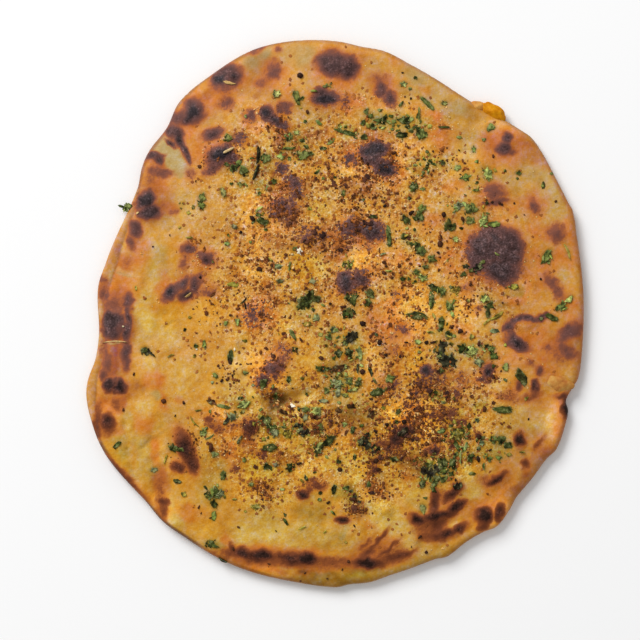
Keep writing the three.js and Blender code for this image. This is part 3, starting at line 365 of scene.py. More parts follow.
        (40, -62, 16, 14, 0, 0.6), (-48, -73, 9, 10, 0, 0.5), (42.5, -32.5, 9, 7, 0, 0.6),
        (57.9, -37, 5, 6, 0, 0.5), (-38, -36, 12, 8, 20, 0.5), (13, -53, 12, 9, -30, 0.6),
        (-28, 38, 9, 6, 0, 0.4), (-3.7, 91.5, 4, 4, 0, 0.6), (-15.5, 86, 5, 8, 0, 0.4),
        (-49, -92, 7, 5, 0, 0.5), (-88, -52, 6, 4, 0, 0.3), (10, -107, 20, 4, 10, 0.6),
        (71.5, 10, 6, 5, 0, 0.6), (92.5, 25, 4, 8, 0, 0.4), (-14, 50, 8, 8, 0, 0.2),
    ],
    "moss": [
        (-10, -76.6, 13, 8, 0, 0.5), (3, -73, 12, 9, 0, 0.6), (-30, -60, 14, 9, 0, 0.4),
        (-30, 60, 12, 7, 0, 0.5), (-6, -81, 16, 4, 10, 0.4), (12, -104, 16, 4, 12, 0.5),
        (-2, -106, 18, 4, 0, 0.4), (30, 88, 10, 6, -30, 0.3), (-10, 0, 16, 14, 0, 0.35),
        (-8, -40, 16, 12, 0, 0.3), (-10, 60, 14, 12, 0, 0.25), (30, 2, 14, 12, 0, 0.3),
        (50, 68, 12, 10, 0, 0.35), (44, 62, 12, 6, 0, 0.4), (-3, 80, 8, 6, 0, 0.3),
        (4, -18, 16, 10, 0, 0.3),
    ],
    "umber": [
        (-12.6, -103.6, 5, 2, -6, 0.6), (4, -103, 6, 2, 4, 0.5), (-2, -106, 5, 1.6, 0, 0.5),
        (2, -102.6, 7, 2, 0, 0.35), (7.4, -77, 11, 7, -15, 0.5), (-10, -80.3, 3.4, 2, 10, 0.5),
        # (-23, -34.6) and (-24, -38) here are painted shade in the hollow of the tear
        (4.4, -88, 2.4, 4.4, -30, 0.4), (-23, -34.6, 10, 6.4, 12, 1), (-24, -38, 8, 5, 20, 0.6),
        (42.5, -39.4, 20, 9, 0, 0.25), (24, -50, 14, 13, 30, 0.25), (20.3, -55, 14, 9, 0, 0.25),
        (28, -57, 9, 6, 0, 0.3), (6.5, -71.6, 7, 7, 0, 0.5), (17, -62, 7, 6, 0, 0.5),
        (0, -21, 10, 6, 0, 0.6), (48.7, -37, 4, 14, 0, 0.3), (36.4, -27, 8, 15, 0, 0.2),
        (2, -41, 16, 9, 0, 0.35), (33, -60, 10, 8, 0, 0.4), (38, -84, 12, 7, 10, 0.3),
        (-6, -107, 26, 4, -4, 0.5), (14, 61, 8, 16, 0, 0.25), (-46, 58, 8, 5, 0, 0.4),
        (66, 5, 5, 5, 0, 0.2), (56, 18, 9, 6, 0, 0.7), (44, 46, 4, 4, 0, 0.2), (-20, 41, 10, 12, 0, 0.2),
    ],
    "pale": [
        (-76, -2, 6, 20, 4, 0.9), (-74, -16, 8, 12, 0, 0.8), (-22, -64, 26, 12, 0, 0.4),
        (-10, -86, 34, 9, 4, 0.6), (-60, -28, 9, 7, 0, 0.6), (-76, -39, 5, 5, 0, 0.6),
        (-2, -87.6, 16, 4, 6, 0.5), (24, -84, 18, 7, -44, 0.85), (73, -40, 9, 5, 0, 0.5),
        (62, -64, 8, 4, 30, 0.4), (-30, -85, 22, 10, 5, 0.8), (-14, -90, 16, 5, 10, 0.6),
        (82, -43, 12, 9, 20, 0.7), (70, -41, 12, 5, 20, 0.4), (-58, 40.5, 10, 6, 40, 0.8),
        (-64.4, -9.5, 12, 9, 0, 0.7), (-66.6, -20, 10, 7, 0, 0.5), (-59.5, -22, 13, 13, 0, 0.7),
        # (-36, -27) here and (-12.2, -32.5) and (-16, -41) below are painted highlights on the lit ridge and
        # wall round the tear
        (-62, -31, 10, 7, 0, 0.5), (-76, -37, 6, 6, 0, 0.9), (-36, -27, 4, 22, 30, 1),
        (-31.4, -36.3, 6, 7, 0, 0.6), (-12.2, -32.5, 9, 5, 20, 0.3), (-16, -41, 6, 5, 0, 0.8),
        (-28, -83, 12, 6, 0, 0.7), (18.5, -79.5, 16, 9, -40, 0.9), (65.5, -28.7, 11, 8, 0, 0.8),
        (52, -64, 7, 9, 0, 0.8), (41, 46, 5, 7, 0, 0.6), (47.2, -84.7, 11, 3.4, 35, 0.8),
        (-38.5, -8.7, 8, 6, -40, 0.5), (83, -45.5, 7, 12, 0, 0.6), (-84, -44, 4, 6, 0, 0.6),
        (-97.5, -30, 4, 16, 0, 0.5), (-74, 12, 5, 18, -12, 0.5), (29, -91, 8, 4, -40, 0.5),
        (56, -72, 9, 4, 45, 0.6), (61, -84, 6, 2, 30, 0.3), (58, 8, 7, 5, 0, 0.5), (40, -72, 10, 4, 0, 0.4),
        (-86.5, 25, 3, 14, -20, 0.6), (-84, 15.5, 9, 2.5, -10, 0.6),
    ],
    "flour": [
        (-73, -31.4, 5, 3.6, 20, 0.9), (-64.5, 61, 8, 13, 32, 1), (-69, 67, 7, 7, 0, 1),
        (-27.6, 105, 6, 8, -20, 0.9), (-34, 100.5, 9, 6, 20, 0.9), (-14, 103.5, 14, 12, 0, 0.75),
        (31.5, 96, 11, 7, -30, 0.8), (41.8, 88.5, 10, 9, 0, 0.3), (50, 82, 10, 7, -35, 0.4),
        (-72.8, -32.3, 5, 4.4, 0, 0.8), (-65.7, -75, 5, 5, 0, 0.9), (-64, -81, 7, 6, -40, 0.5),
        (84, 52, 8, 14, 20, 0.4), (80, 57, 8, 6, 0, 0.4), (4.4, -88, 4, 8, -10, 0.5),
        (-12, -31.5, 5, 3, 20, 0.5), (36, -99, 9, 3, 15, 0.5),
    ],
}

# Where crushed spice lies, in the same form
SPICE_PATCHES = [
    (8, 2, 132, 168, 0, 0.5), (-2, 52, 104, 62, 0, 0.85), (8, 20, 110, 50, 0, 0.75),
    (-26, 14, 54, 70, 0, 0.8), (-24, 58, 50, 50, 0, 0.8), (34, -44, 66, 54, 0, 1),
    (-22, -46, 60, 60, 0, 0.75), (50, 14, 60, 90, 0, 0.45), (14, -60, 40, 40, 0, 0.85),
    (-28, -70, 30, 22, 0, 0.7), (17, -70, 14, 10, 0, 0.9), (7.6, -75.6, 13, 11, 0, 1),
    (-45, -50, 26, 40, 0, 0.5), (60, -40, 30, 40, 0, 0.45), (-50, 26, 26, 50, 0, 0.35),
    (18, 80, 60, 20, -10, 0.45), (74, 20, 20, 60, 0, 0.25), (0, -20, 60, 40, 0, 0.6),
    (-36, 80, 24, 18, 0, 0.3), (-60, -12, 30, 30, 0, 0.14),
]

# Where the spice is burnt or dark, in the same form
DARK_SPICE = [
    (34, -42, 44, 40, -15, 0.78), (43, -40, 16, 9, 0, 1), (24, -52, 16, 12, 40, 1),
    (36, -24, 14, 14, 0, 0.9), (30, -34, 22, 12, 0, 0.7), (17, 60, 18, 18, 0, 1), (-20, 41, 15, 15, 0, 1),
    (-17, 51, 10, 9, 0, 0.8), (-10, 31, 16, 10, 0, 0.9), (2, 27, 16, 9, 0, 0.8), (10, 34, 22, 12, 0, 0.9),
    (6, 13, 18, 14, 0, 0.9), (-31, 0, 15, 13, 0, 0.25), (-24, -21, 22, 12, 52, 0.5),
    (-45, 62, 16, 14, 0, 0.7), (-24, 76, 12, 12, 0, 0.6), (-60, -54, 14, 18, 0, 0.7),
    (-34, -46, 10, 12, 0, 0.8), (17, -70, 14, 9, 0, 0.7), (-27, -71, 10, 8, 0, 0.7),
    (8, -76.6, 13, 9, -15, 1), (60, -24, 12, 12, 0, 0.4), (8, 50, 40, 24, 0, 0.4),
    (14, -58, 22, 14, 0, 0.6), (-5, -45, 26, 18, 0, 0.4), (-42, 8, 30, 26, 0, 0.2),
    (30, 14, 40, 50, 0, 0.18), (-20, 20, 50, 30, 0, 0.2), (20, -18, 20, 20, 0, 0.25),
    (46, 60, 30, 16, 0, 0.1), (-40, -24, 16, 16, 0, 0.35), (54, 5, 20, 16, 0, 0.3),
]

# Smooth places that no spice lies on, in the same form
BARE = [(-18, -33, 15, 6, 8, 1), (-36, -27, 4, 22, 30, 1), (-27.6, -35.6, 4, 4, 0, 1)]

# Areas that are lighter than their tone, or darker where the last number is below 0, in the same form. Most
# are the dough's tone; the rows marked below are painted light and shade.
LIGHTER_AND_PAINTED_LIGHT = [
    (30, 0, 26, 24, 0, 0.22), (50, 0, 20, 20, 0, 0.16), (10, 20, 22, 22, 0, 0.2),
    (-30, 40, 24, 22, 0, 0.18), (-30, -18, 22, 20, 0, 0.14), (-70, -80, 18, 14, -45, 0.16),
    (-30, -88, 22, 12, 0, 0.12), (30, -90, 24, 10, 15, 0.14), (90, -42, 14, 20, 0, 0.14),
    (62, -80, 22, 16, 40, 0.14), (32, 80, 22, 16, 0, 0.1), (32, 20, 20, 20, 0, 0.12),
    # The first two rows here are painted light and shade at the tear: paler above it, darker in its hollow
    (-17, -30, 20, 4, 6, 0.3), (-17, -35, 9, 3, 8, -0.35), (-10, -80, 14, 8, 0, -0.2),
    (52, 72, 10, 8, 0, -0.12), (-45, -40, 10, 7, 0, 0.3), (30, -58, 14, 8, 0, -0.2),
    (10, -100, 16, 7, 0, -0.2), (-10, -100, 16, 7, 0, -0.2), (10, -38, 14, 10, 0, -0.2),
    (-50, -60, 12, 10, 0, -0.2), (30, -42, 22, 20, 0, 0.4), (72, 10, 14, 12, 0, 0.14),
    (-70, -58, 14, 12, 0, 0.12), (-10, -60, 18, 14, 0, 0.16), (-30, -82, 18, 16, 0, -0.15),
    (30, -62, 18, 16, 0, -0.16), (-50, -60, 20, 18, 0, -0.07), (10, -42, 18, 14, 0, -0.28),
    (-31, 0, 16, 14, 0, 0.5), (-30, -22, 18, 18, 0, 0.24), (-10, -40, 16, 12, 0, 0.24),
    (30, -42, 18, 14, 0, 0.2), (-30, 78, 16, 12, 0, 0.14), (30, 62, 18, 16, 0, 0.16),
    (-10, 60, 16, 14, 0, 0.12), (88, 56, 10, 14, 0, 0.12), (10, 60, 18, 16, 0, 0.24),
    (-10, 0, 16, 14, 0, 0.12), (-30, 42, 16, 14, 0, 0.12), (10, -20, 18, 18, 0, 0.18),
    (50, 0, 16, 16, 0, 0.1), (90, -42, 14, 18, 0, 0.18), (66, -82, 16, 14, 40, 0.3),
    (-70, -78, 16, 14, -45, 0.26), (62, 74, 10, 8, 0, 0.12), (70, 2, 14, 14, 0, -0.14),
    (50, 62, 18, 16, 0, 0.2), (-30, 100, 14, 10, 0, -0.16), (-70, 20, 18, 16, 0, -0.12),
    (-72, 44, 16, 16, 0, -0.25), (-90, 20, 10, 16, 0, -0.12), (50, 80, 14, 12, 0, -0.14),
    (50, 50, 16, 26, 0, 0.08), (50, -62, 14, 12, 0, 0.04), (30, 2, 18, 16, 0, 0.22),
    (10, 20, 16, 14, 0, 0.16), (-30, 20, 18, 16, 0, 0.2), (-50, 2, 16, 12, 0, 0.06),
    # The first two rows here are painted light on the bottom-left rim, lifting the shade that falls on it
    (-49, -97, 16, 6, -32, 0.4), (-27, -103, 16, 5, -12, 0.4), (-10, 80, 14, 12, 0, -0.12),
    (50, 58, 14, 12, 0, -0.12), (50, -40, 14, 12, 0, -0.16), (70, 76, 12, 8, -35, 0.16),
    (64, -80, 14, 12, 40, 0.2), (-90, -40, 8, 14, 0, 0.2), (-50, 80, 10, 10, 0, -0.1),
    (-30, 102, 14, 8, 0, -0.18), (-70, 40, 12, 12, 0, -0.08),
]

# Areas that are yellower than their tone, in the same form
YELLOWER = [
    (-10, 20, 18, 18, 0, 0.42), (-70, 0, 20, 20, 0, 0.38), (30, -20, 18, 18, 0, 0.4),
    (-50, 0, 18, 18, 0, 0.25), (-10, 40, 18, 18, 0, 0.25), (-30, -60, 18, 18, 0, 0.25),
    (-10, -20, 18, 18, 0, 0.25), (-70, 20, 18, 16, 0, 0.15), (-90, -60, 14, 14, 0, 0.4),
    (50, 58, 14, 12, 0, 0.25), (50, -40, 14, 12, 0, 0.2),
]

# Torn leaves of each tone: x, y, length, width, turn in degrees
LEAVES = {
    "black": [
        (-31.2, 63.4, 7.4, 1.5, 86), (-31.9, 56.2, 6.6, 1.5, 70), (-75.7, -15.1, 4.6, 3, -15),
        (-73.2, -16.4, 2.6, 0.8, -30), (6.4, -9.1, 6, 4, 35), (43, -12.2, 4, 3, 0), (42.1, -15.5, 6, 3, 85),
        (44.8, -18.6, 8, 5.5, -10), (8.8, -21.7, 4, 1, 90), (13.9, -22.6, 5, 1.5, -75),
        (-43.4, -42.6, 4, 1.6, 50), (-13.3, -46.1, 5.6, 4.4, -35), (-15.6, -44.3, 2.4, 2, 40),
        (12.3, -51.9, 5.4, 3.6, -30), (10.3, -51, 4, 3, 60), (15.9, -54.3, 4, 3.2, -30),
        (12.8, -48.7, 3.4, 2.6, 80), (27.4, -47.4, 5, 5, 0), (38.1, -63.4, 5, 4.6, 20),
        (35.4, -62.6, 3.6, 3.6, 60), (40.6, -62, 3.6, 3.6, 0), (57, 18.5, 5, 3.4, 20), (52, 19, 3.4, 2, 0),
        (-36.8, 5.4, 4, 0.8, 45), (-36.2, 3.2, 3, 0.8, 100), (-38.1, -50.1, 4.5, 1, 55),
        (48.8, -68.6, 4.4, 3, 30), (7.3, -73.3, 3.4, 2.2, 70), (6.2, -70.6, 2.2, 1.2, 20),
        (9.4, -74.8, 2, 1.2, 0),
    ],
    "dark": [
        (-85.6, 43, 3.6, 1.1, -20), (-41.5, 51.9, 2, 1.5, 0), (-40.6, 58.3, 4, 3, 40),
        (4.2, 72.5, 9, 1.8, -15), (-4.9, 66.1, 3, 1.5, 0), (-24.7, 52.8, 3, 2.5, 0),
        (18.1, 77.2, 6, 3.5, 0), (27.4, 77.2, 5, 3, 0), (26.6, 71.4, 5, 2.5, 0), (43.4, 74.6, 5, 1, 0),
        (42.8, 60.3, 2.2, 2, 0), (31, 50.5, 4.5, 3.5, 80), (29.4, 46.2, 2, 2, 0),
        (-29.3, 37.1, 5.5, 3, -10), (-14, 3.4, 4.6, 3, 50), (-9.9, 7.6, 4.4, 3.4, 80),
        (-11.6, 4.6, 5, 4, 20), (-7.4, 5.8, 4, 2.6, 10), (-55.7, -12.8, 2, 2, 0), (-60.1, -6.2, 2, 1.5, 60),
        (-41.9, -16.9, 5, 2.5, 85), (-16.2, -14.2, 3, 2.5, 0), (-0.2, -12.7, 2, 1.5, 90),
        (1.3, -15.8, 3.5, 3, 30), (5.6, -15.3, 4, 3.5, 70), (-0.7, -17.6, 2, 2, 0), (6.7, 5.8, 6, 5, -60),
        (5.2, 0.2, 5.5, 4.5, 30), (13.7, 8.2, 4.2, 3, -30), (4, -11.1, 3, 2, 0), (15, 38.9, 3.5, 1.5, 0),
        (33.4, 38.9, 4.4, 4, 85), (28.1, 37.6, 4.5, 3.3, -65), (27.4, 30.9, 3, 3, 0),
        (32.6, 27.3, 4, 3, -45), (35.9, 18.9, 3, 2.5, 0), (26.8, 14, 2.5, 2, 0), (29.2, 14, 1.8, 1.6, 0),
        (45.2, 35.2, 6, 4, -70), (50.1, 34.2, 2.5, 1.5, 0), (60.3, 44.2, 2, 2, 0), (38.3, 5.6, 8, 2.2, 88),
        (39.4, 10.4, 5, 2.5, -30), (61.5, 3.4, 4.4, 3, 60), (60.8, 0.4, 4, 2, 85), (32.8, -0.7, 8.6, 3, -8),
        (42.3, -3.3, 5, 2.5, 85), (41.7, -6, 3, 2.5, 0), (45, -8.2, 3, 3, 0), (42.1, -22.6, 2.6, 2.5, 0),
        (50.3, -14, 4, 3, 70), (60.6, -12.9, 3, 2, 0), (63.1, -16.8, 3.5, 3, 0), (63, -20.8, 2, 2, 0),
        (86.3, -1.3, 5.8, 2.3, -25), (82.1, -1.8, 2.5, 2, 0), (74.3, -25.2, 7.6, 3.6, -60),
        (66.8, -38.1, 8, 2.8, -2), (67.7, -26.3, 2.2, 1.3, -40), (-28.7, -27.9, 4.5, 3, 60),
        (-18.7, -26.1, 3, 2, 90), (-5.3, -21.9, 5, 3, -5), (5.5, -26.6, 3.5, 3, 20), (9.1, -27.7, 3, 3, 0),
        (16.8, -31.2, 6.2, 3, 15), (25, -39, 3, 2.3, 60), (-14.7, -37.9, 2, 1.5, 90),
        (-6.2, -45.2, 3.5, 2.5, 80), (-27.9, -42.4, 5, 4, -60), (-25.6, -45.8, 5, 3.4, -60),
        (-29.3, -41.7, 2, 2, 0), (-26.2, -53.2, 6, 3, 5), (-2.6, -50.6, 6, 3, 40), (-6.6, -54, 5, 3.4, 50),
        (6.8, -46.2, 3.5, 1.8, 80), (7.6, -57.2, 3, 1.8, 80), (24.3, -43, 2, 2, 0),
        (42.8, -50.1, 2.5, 1.8, 0), (52.3, -48.8, 3, 2.5, 60), (48.3, -52.3, 6, 1.8, -65),
        (53.2, -44.8, 3, 2, 80), (53.6, -57.5, 4, 2.6, 85), (66.1, -50.2, 4, 3.5, 40),
        (68.8, -52.3, 4, 3, -10), (46.6, -59.3, 6.4, 3.4, 80), (46.1, -63.7, 3, 2.5, 0),
        (34.6, -67.7, 4, 2.5, 80), (23.4, -57.9, 4.2, 2.5, 0), (31.7, -59.2, 2.2, 2, 0),
        (13.2, -67.9, 3, 2, 80), (-0.6, -69.9, 4, 2, 80), (-6, -71.4, 2, 1.8, 0), (-18, -61.3, 4.4, 3, 42),
        (-27.3, -60.9, 4, 3, 0), (-44.8, -64.3, 4.2, 2.4, 85), (-48.6, -75.7, 3.6, 2.6, -60),
        (-20, -82.8, 3.5, 1.3, -55), (-64.6, -53.7, 5.4, 3.2, -25), (-63.2, -66.8, 3.6, 1.8, -15),
        (-87.3, -52.3, 4.2, 1.8, 40), (-49.4, -92.3, 5.4, 3, -15), (-45, -98.6, 4.2, 1.2, -28),
        (-50.4, -72.6, 3.6, 3, 0), (-51.7, -45.7, 2, 1.5, 45), (-16.2, 26, 2.5, 2, 0),
        (56.4, 52.4, 2, 1.4, 30), (-43.4, 59.6, 3, 2, -20), (33, 79.4, 3, 1.4, 70),
        (14.6, 75.2, 2.6, 2, 60), (22, 79, 2.4, 1.6, 0), (31.6, 74.6, 2.6, 1.6, 30),
        (40.4, -65.6, 3.4, 3, 0), (42.6, -59.5, 5, 4, 60), (39, -69.9, 4, 2.3, -60),
        (-76, -14.4, 3.6, 3, 0), (51, 15.8, 3, 2, 30), (54, 17.4, 2.6, 2, 0), (58.4, 20.6, 3, 1.6, 30),
        (37, -60.2, 3, 2.4, 0), (47.8, -46.4, 3, 2, 0), (57, -53.6, 2.4, 1.6, 40),
        (10.4, -44.6, 2.2, 1.4, 0),
    ],
    "mid": [
        (-83.8, 42.6, 4.6, 3.4, 50), (-82.8, 43.8, 2.6, 1.6, 0), (-53.2, 46.4, 4.5, 3, 80),
        (-53.4, 42.9, 3.5, 3, 100), (-36.8, 57.4, 4, 4, 0), (-42.8, 70.1, 4, 3, 20),
        (-15.6, 86.4, 6.4, 2.4, -70), (-8.7, 88.8, 3, 1, 0), (-12, 76.8, 2, 1.5, 0),
        (-6.7, 76.3, 3, 1.5, -40), (-18.7, 70.6, 4, 3, 10), (-13.3, 69.2, 2.5, 2, 0),
        (-18.7, 66.1, 4, 1.2, 0), (-12.9, 63.4, 6, 4, 30), (-9.8, 63.9, 2.5, 2, 0),
        (-1.8, 68.8, 4, 1.5, 40), (-28, 62.1, 5, 4, 20), (-33.3, 62.1, 2, 1, 0), (-27.1, 50.1, 2.5, 2, 0),
        (-30.3, 48, 2.5, 2, 0), (-4.9, 54.1, 2, 1.5, 0), (-0.4, 54.6, 2, 1.5, 0), (-7.6, 56.8, 3, 1, 35),
        (3, 48.2, 3.5, 2, 80), (29.7, 90.1, 2, 1.5, 0), (31.9, 94.6, 2, 1.5, 0), (36.7, 84.3, 8, 2, -44),
        (33.4, 79.9, 6, 1, 90), (26.1, 83.9, 3, 1.2, 50), (11, 76.3, 2.6, 2, 60), (12.3, 80.8, 3, 2, 80),
        (14, 79, 2.6, 2, 30), (23.4, 76.8, 2.5, 2, 0), (15, 74.1, 2, 1.5, 0), (22.6, 73.7, 2, 1.5, 0),
        (11.4, 70.6, 3, 2.5, 0), (30.1, 73.2, 2.5, 2, 0), (34.1, 71.9, 5, 5, 0), (49.4, 70.6, 2.5, 1.5, 0),
        (31.7, 59.4, 2, 1.6, 0), (36.3, 58.1, 2.5, 1.8, 60), (37.7, 61.2, 2, 1.6, 0),
        (36.6, 64.8, 2, 1.6, 0), (34.8, 55.4, 2, 1.6, 0), (51.9, 54.6, 4.5, 2.8, 20),
        (56.3, 60.8, 2, 1.6, 0), (55.2, 65.7, 3, 2, 90), (59.2, 69.7, 2, 1.6, 0), (62.1, 74.6, 4, 3, 30),
        (55.9, 49.4, 3, 1, 0), (83, 51.4, 3, 1.5, 90), (86.6, 56.3, 2, 1.5, 0), (67.7, 57.2, 2, 1.5, 0),
        (73.2, 56.3, 2.5, 2, 0), (72.6, 54.1, 2, 1.5, 0), (-34, 28.7, 1.5, 1.5, 0),
        (-18.4, 19.1, 4, 0.8, 80), (-43.8, -3.7, 2.5, 2.5, 0), (-52.4, -11.9, 3, 1.5, 80),
        (-17.1, -8.2, 5, 1.8, -60), (-2.7, -9.1, 3, 3, 0), (12.8, 4.7, 3.5, 3, 80), (34.3, 42, 4, 3.4, 85),
        (21.2, 31.3, 9, 1.8, -85), (31.4, 33.6, 1.5, 1.5, 0), (34.1, 25.1, 4.5, 4, 0),
        (38.3, 22, 4, 3.5, 40), (32.3, 16.7, 3, 2.5, -45), (53.9, 42, 6, 4, -10), (53.7, 37.1, 4, 3, -20),
        (63.2, 35.8, 5, 2.5, 0), (42.4, 9, 4.6, 3.6, -65), (45.4, 3, 5, 3, -65), (47.2, -8.7, 2.5, 1.5, 0),
        (62.1, -14, 3.5, 3, -30), (84.3, 22.9, 6.6, 3, 58), (90.4, 3, 5, 3.4, 38),
        (67.9, -21.2, 3.5, 2.5, 80), (-47.9, -24.6, 3, 2, -60), (-24.9, -29, 2, 1.5, 90),
        (-24, -32.8, 3, 2, 90), (-44.8, -36.8, 5.6, 1.5, -12), (-50.1, -38.8, 2, 1.5, 90),
        (-52.6, -47.4, 3.5, 3, 60), (-3.6, -30.6, 3, 2.5, 70), (21.7, -25.7, 4, 3.5, 10),
        (-12, -38.1, 4.5, 2.5, 0), (-3.6, -57, 2, 1, -40), (1.3, -59, 2.5, 2, 0), (63, -49.9, 3.6, 3.4, 0),
        (65.2, -57.4, 3, 2, 0), (61.5, -57.5, 3, 1.8, 0), (59.2, -60.8, 3, 1, 90), (4.2, -69.4, 3, 2, 20),
        (-6.4, -73.9, 2, 1.5, 0), (-36.4, -58.3, 2.5, 1.8, 80), (-33.6, -67.9, 2.3, 2, 0),
        (-48.6, -71, 3.6, 3.4, 0), (-48.6, -80.6, 4, 2, 85), (-20.2, -80.1, 2, 1.5, 90),
        (-61.7, -54.1, 2.6, 2, 0), (43.6, -62.4, 3.4, 2.6, 30), (39.6, -67.6, 3.6, 2.4, 60),
        (58.6, -49.4, 2.4, 2, 20), (50.6, -46.6, 2.6, 2, -30), (-38.6, 60.2, 3, 2.4, 60),
        (43, -65.9, 4.4, 3, 15), (34.9, -77.7, 4.4, 2.5, -80), (48, -56, 3, 1.6, 40),
        (46, -44.6, 2.4, 1.6, 10), (35.8, -73.4, 2, 1.4, 0), (17.6, 81.4, 2.4, 1.4, 0),
    ],
    "light": [
        (-44.8, 48.5, 4.5, 2.5, -70), (-38.2, 52, 2.5, 1.5, 0), (-23.6, 87.7, 3.5, 3, 0),
        (-3.8, 91, 3, 1.3, 15), (-15.6, 72.3, 3, 2, 0), (-21.6, 63, 4, 3.5, 0), (27.2, 91.9, 3, 2.5, 0),
        (43.4, 84.3, 3, 2, 0), (30.1, 77.7, 2.5, 2, 0), (48.6, 58.3, 3, 2.2, 30), (60.8, 55.9, 6, 3.5, -65),
        (-43.3, 28.2, 2.5, 2, 0), (-30.4, 41.6, 4, 1, 40), (-39.1, -3.1, 3.5, 2, 85),
        (9.7, -15.8, 6, 1.8, -82), (34.8, 14.4, 3.5, 3, 0), (47.9, 29.8, 3, 2.5, -50),
        (59, 37.1, 5.8, 3.4, 70), (46.6, 0, 3, 1.8, -65), (59.4, 6.2, 4, 3.4, 60),
        (32.8, -11.1, 2.8, 2, -20), (54.1, -14.8, 4.4, 4, 0), (93.4, 5.8, 4.4, 2.4, 38),
        (-36, -23.5, 2.5, 2, 0), (-36.6, -36.1, 5.2, 3, 25), (-50.3, -48.8, 4.5, 0.8, 30),
        (-48.3, -55.9, 3.3, 2.5, 0), (7.6, -30.1, 2.5, 2, 0), (-7.6, -38.8, 4, 3.5, 20),
        (3.6, -44, 2.3, 2.3, 0), (42.1, -46.8, 3.5, 2, 15), (51.9, -52.8, 4, 1.5, 70),
        (-21.3, -69.9, 2, 1, 0), (-6.4, -52.2, 3.4, 2, 40), (15.6, -26.6, 3, 1, -60), (50, -57, 6, 0.8, 88),
        (14.6, 6.8, 2, 1.4, -30), (-26.6, -43.8, 4, 0.8, -60),
    ],
    "grey": [
        (11, 45.6, 2, 1.5, 0), (-40.3, 34.8, 3, 2, -30), (-23.3, 18.9, 4, 2, 0), (-22.2, 13.1, 3, 2, 0),
        (-9.1, 13.1, 3, 2.5, 0), (-7.6, -1.6, 3, 3, 0), (-0.9, -6.2, 3, 2.5, 80), (16.3, -8.2, 2, 1.8, 0),
        (49, 43.3, 3.5, 3.5, 0), (57.2, -19.2, 4, 4, 0), (63.4, -6.7, 4, 1.8, 0),
        (-49.2, -27.2, 1.5, 1.5, 0), (-32.9, -28.3, 1.8, 1.5, 0), (-41.2, -41, 3.5, 3.5, 0),
        (0.9, -27.9, 4.5, 4, 0), (0.9, -31.4, 4, 2, 85), (-4.9, -34.6, 4, 1.5, 0), (43, -35.4, 2.5, 1.5, 0),
        (-12, -41.2, 3.5, 2.5, 80), (-24.4, -47.4, 4, 3, 0), (58.1, -51.4, 3, 2.5, 80),
        (56.5, -42.3, 2, 2, 0), (-12, -65.2, 2.5, 1.5, 90), (-24, -60.1, 2.5, 2, 0),
        (-46.2, -71.7, 4, 3, 10), (-72.5, -62.3, 3.2, 2.2, 10), (19, 23.8, 2.6, 0.8, 20),
    ],
    "olive": [
        (-56.8, 42.7, 2.5, 1.5, 80), (-58.8, 40.4, 2, 2, 0), (-62.3, 34.7, 2, 1.5, 0),
        (-79.7, 10.4, 2, 1, 90), (-40.9, 11.8, 4.6, 2, -5), (-25.8, 21.8, 2.5, 1, -40),
        (-11.3, -4, 4, 2.5, 0), (-58.3, -1.3, 2, 1.5, 0), (-65.7, -16.7, 3, 0.6, 25),
        (-56.3, -16.7, 2, 1.5, 60), (-36.2, -10.7, 2.5, 1.4, 0), (-6, -8.2, 2.5, 2, 0),
        (-4, -12.7, 2.5, 1.8, 0), (47.7, 9.6, 4, 4, 0), (33.4, -15.1, 2, 1.5, 0),
        (64.8, -0.7, 5.4, 1.8, 40), (61.7, -2.9, 7, 0.8, 30), (76.1, -33.7, 2.5, 1.5, 40),
        (-13.3, -25.7, 2, 1.5, 0), (-54.8, -38.3, 3, 0.8, 10), (-56.1, -42.9, 5.6, 0.7, -50),
        (19, -37.4, 2, 2, 0), (41.2, -31.9, 2, 2, 0), (-19.1, -47.9, 4, 4, 0), (48.8, -48.3, 5, 4, 60),
        (69.2, -56.1, 2.5, 2, 0), (74.6, -55.2, 2.5, 1, 0), (54.5, -63.7, 3, 1.5, 0),
        (37.7, -59, 3, 2.5, 0), (-13.3, -85.2, 3.5, 0.8, 25), (-4.4, -86.8, 2, 0.8, 45),
        (4.1, -91.1, 1.6, 1.2, 0), (-40.4, -73.9, 2, 1, 0), (-36, -78.8, 1.3, 1.3, 0),
        (-67.9, -57.9, 4, 0.7, 70),
    ],
    "yellow": [
        (-58.3, 30.4, 3, 1, 0), (5.2, 19.5, 3.5, 0.9, -75), (21.2, 17.3, 3, 1, 0), (28.8, 28.4, 2, 2, 0),
        (37.7, -7.1, 3, 1, 0), (54.3, -9.1, 2.5, 2, 60), (67.7, -12.4, 2, 1.5, 90),
        (92.3, 25, 6.5, 1.2, -68), (71.4, 10.9, 4, 2.6, 10), (3.6, -32.3, 3, 2, 0),
        (20.3, -29.7, 2, 1.5, 0), (-0.2, -54.1, 1.5, 1.5, 0), (-31.6, -76.8, 3.5, 3, 0),
        (-60.6, -71.9, 2.5, 2.5, 0), (53.2, 5.3, 2.2, 1.6, 0),
    ],
    "brown": [
        (1.3, -21.7, 8, 2.8, 10), (-49.4, -35, 4.5, 2.6, -25), (6.2, -36.8, 4.5, 2.5, 0),
        (-7.6, -41.2, 4.5, 2, 0), (14.1, -39.9, 4.5, 3.5, 80), (1.3, -38.6, 3, 2.6, 0),
        (-20.9, -39, 4, 1.8, -20),
    ],
}

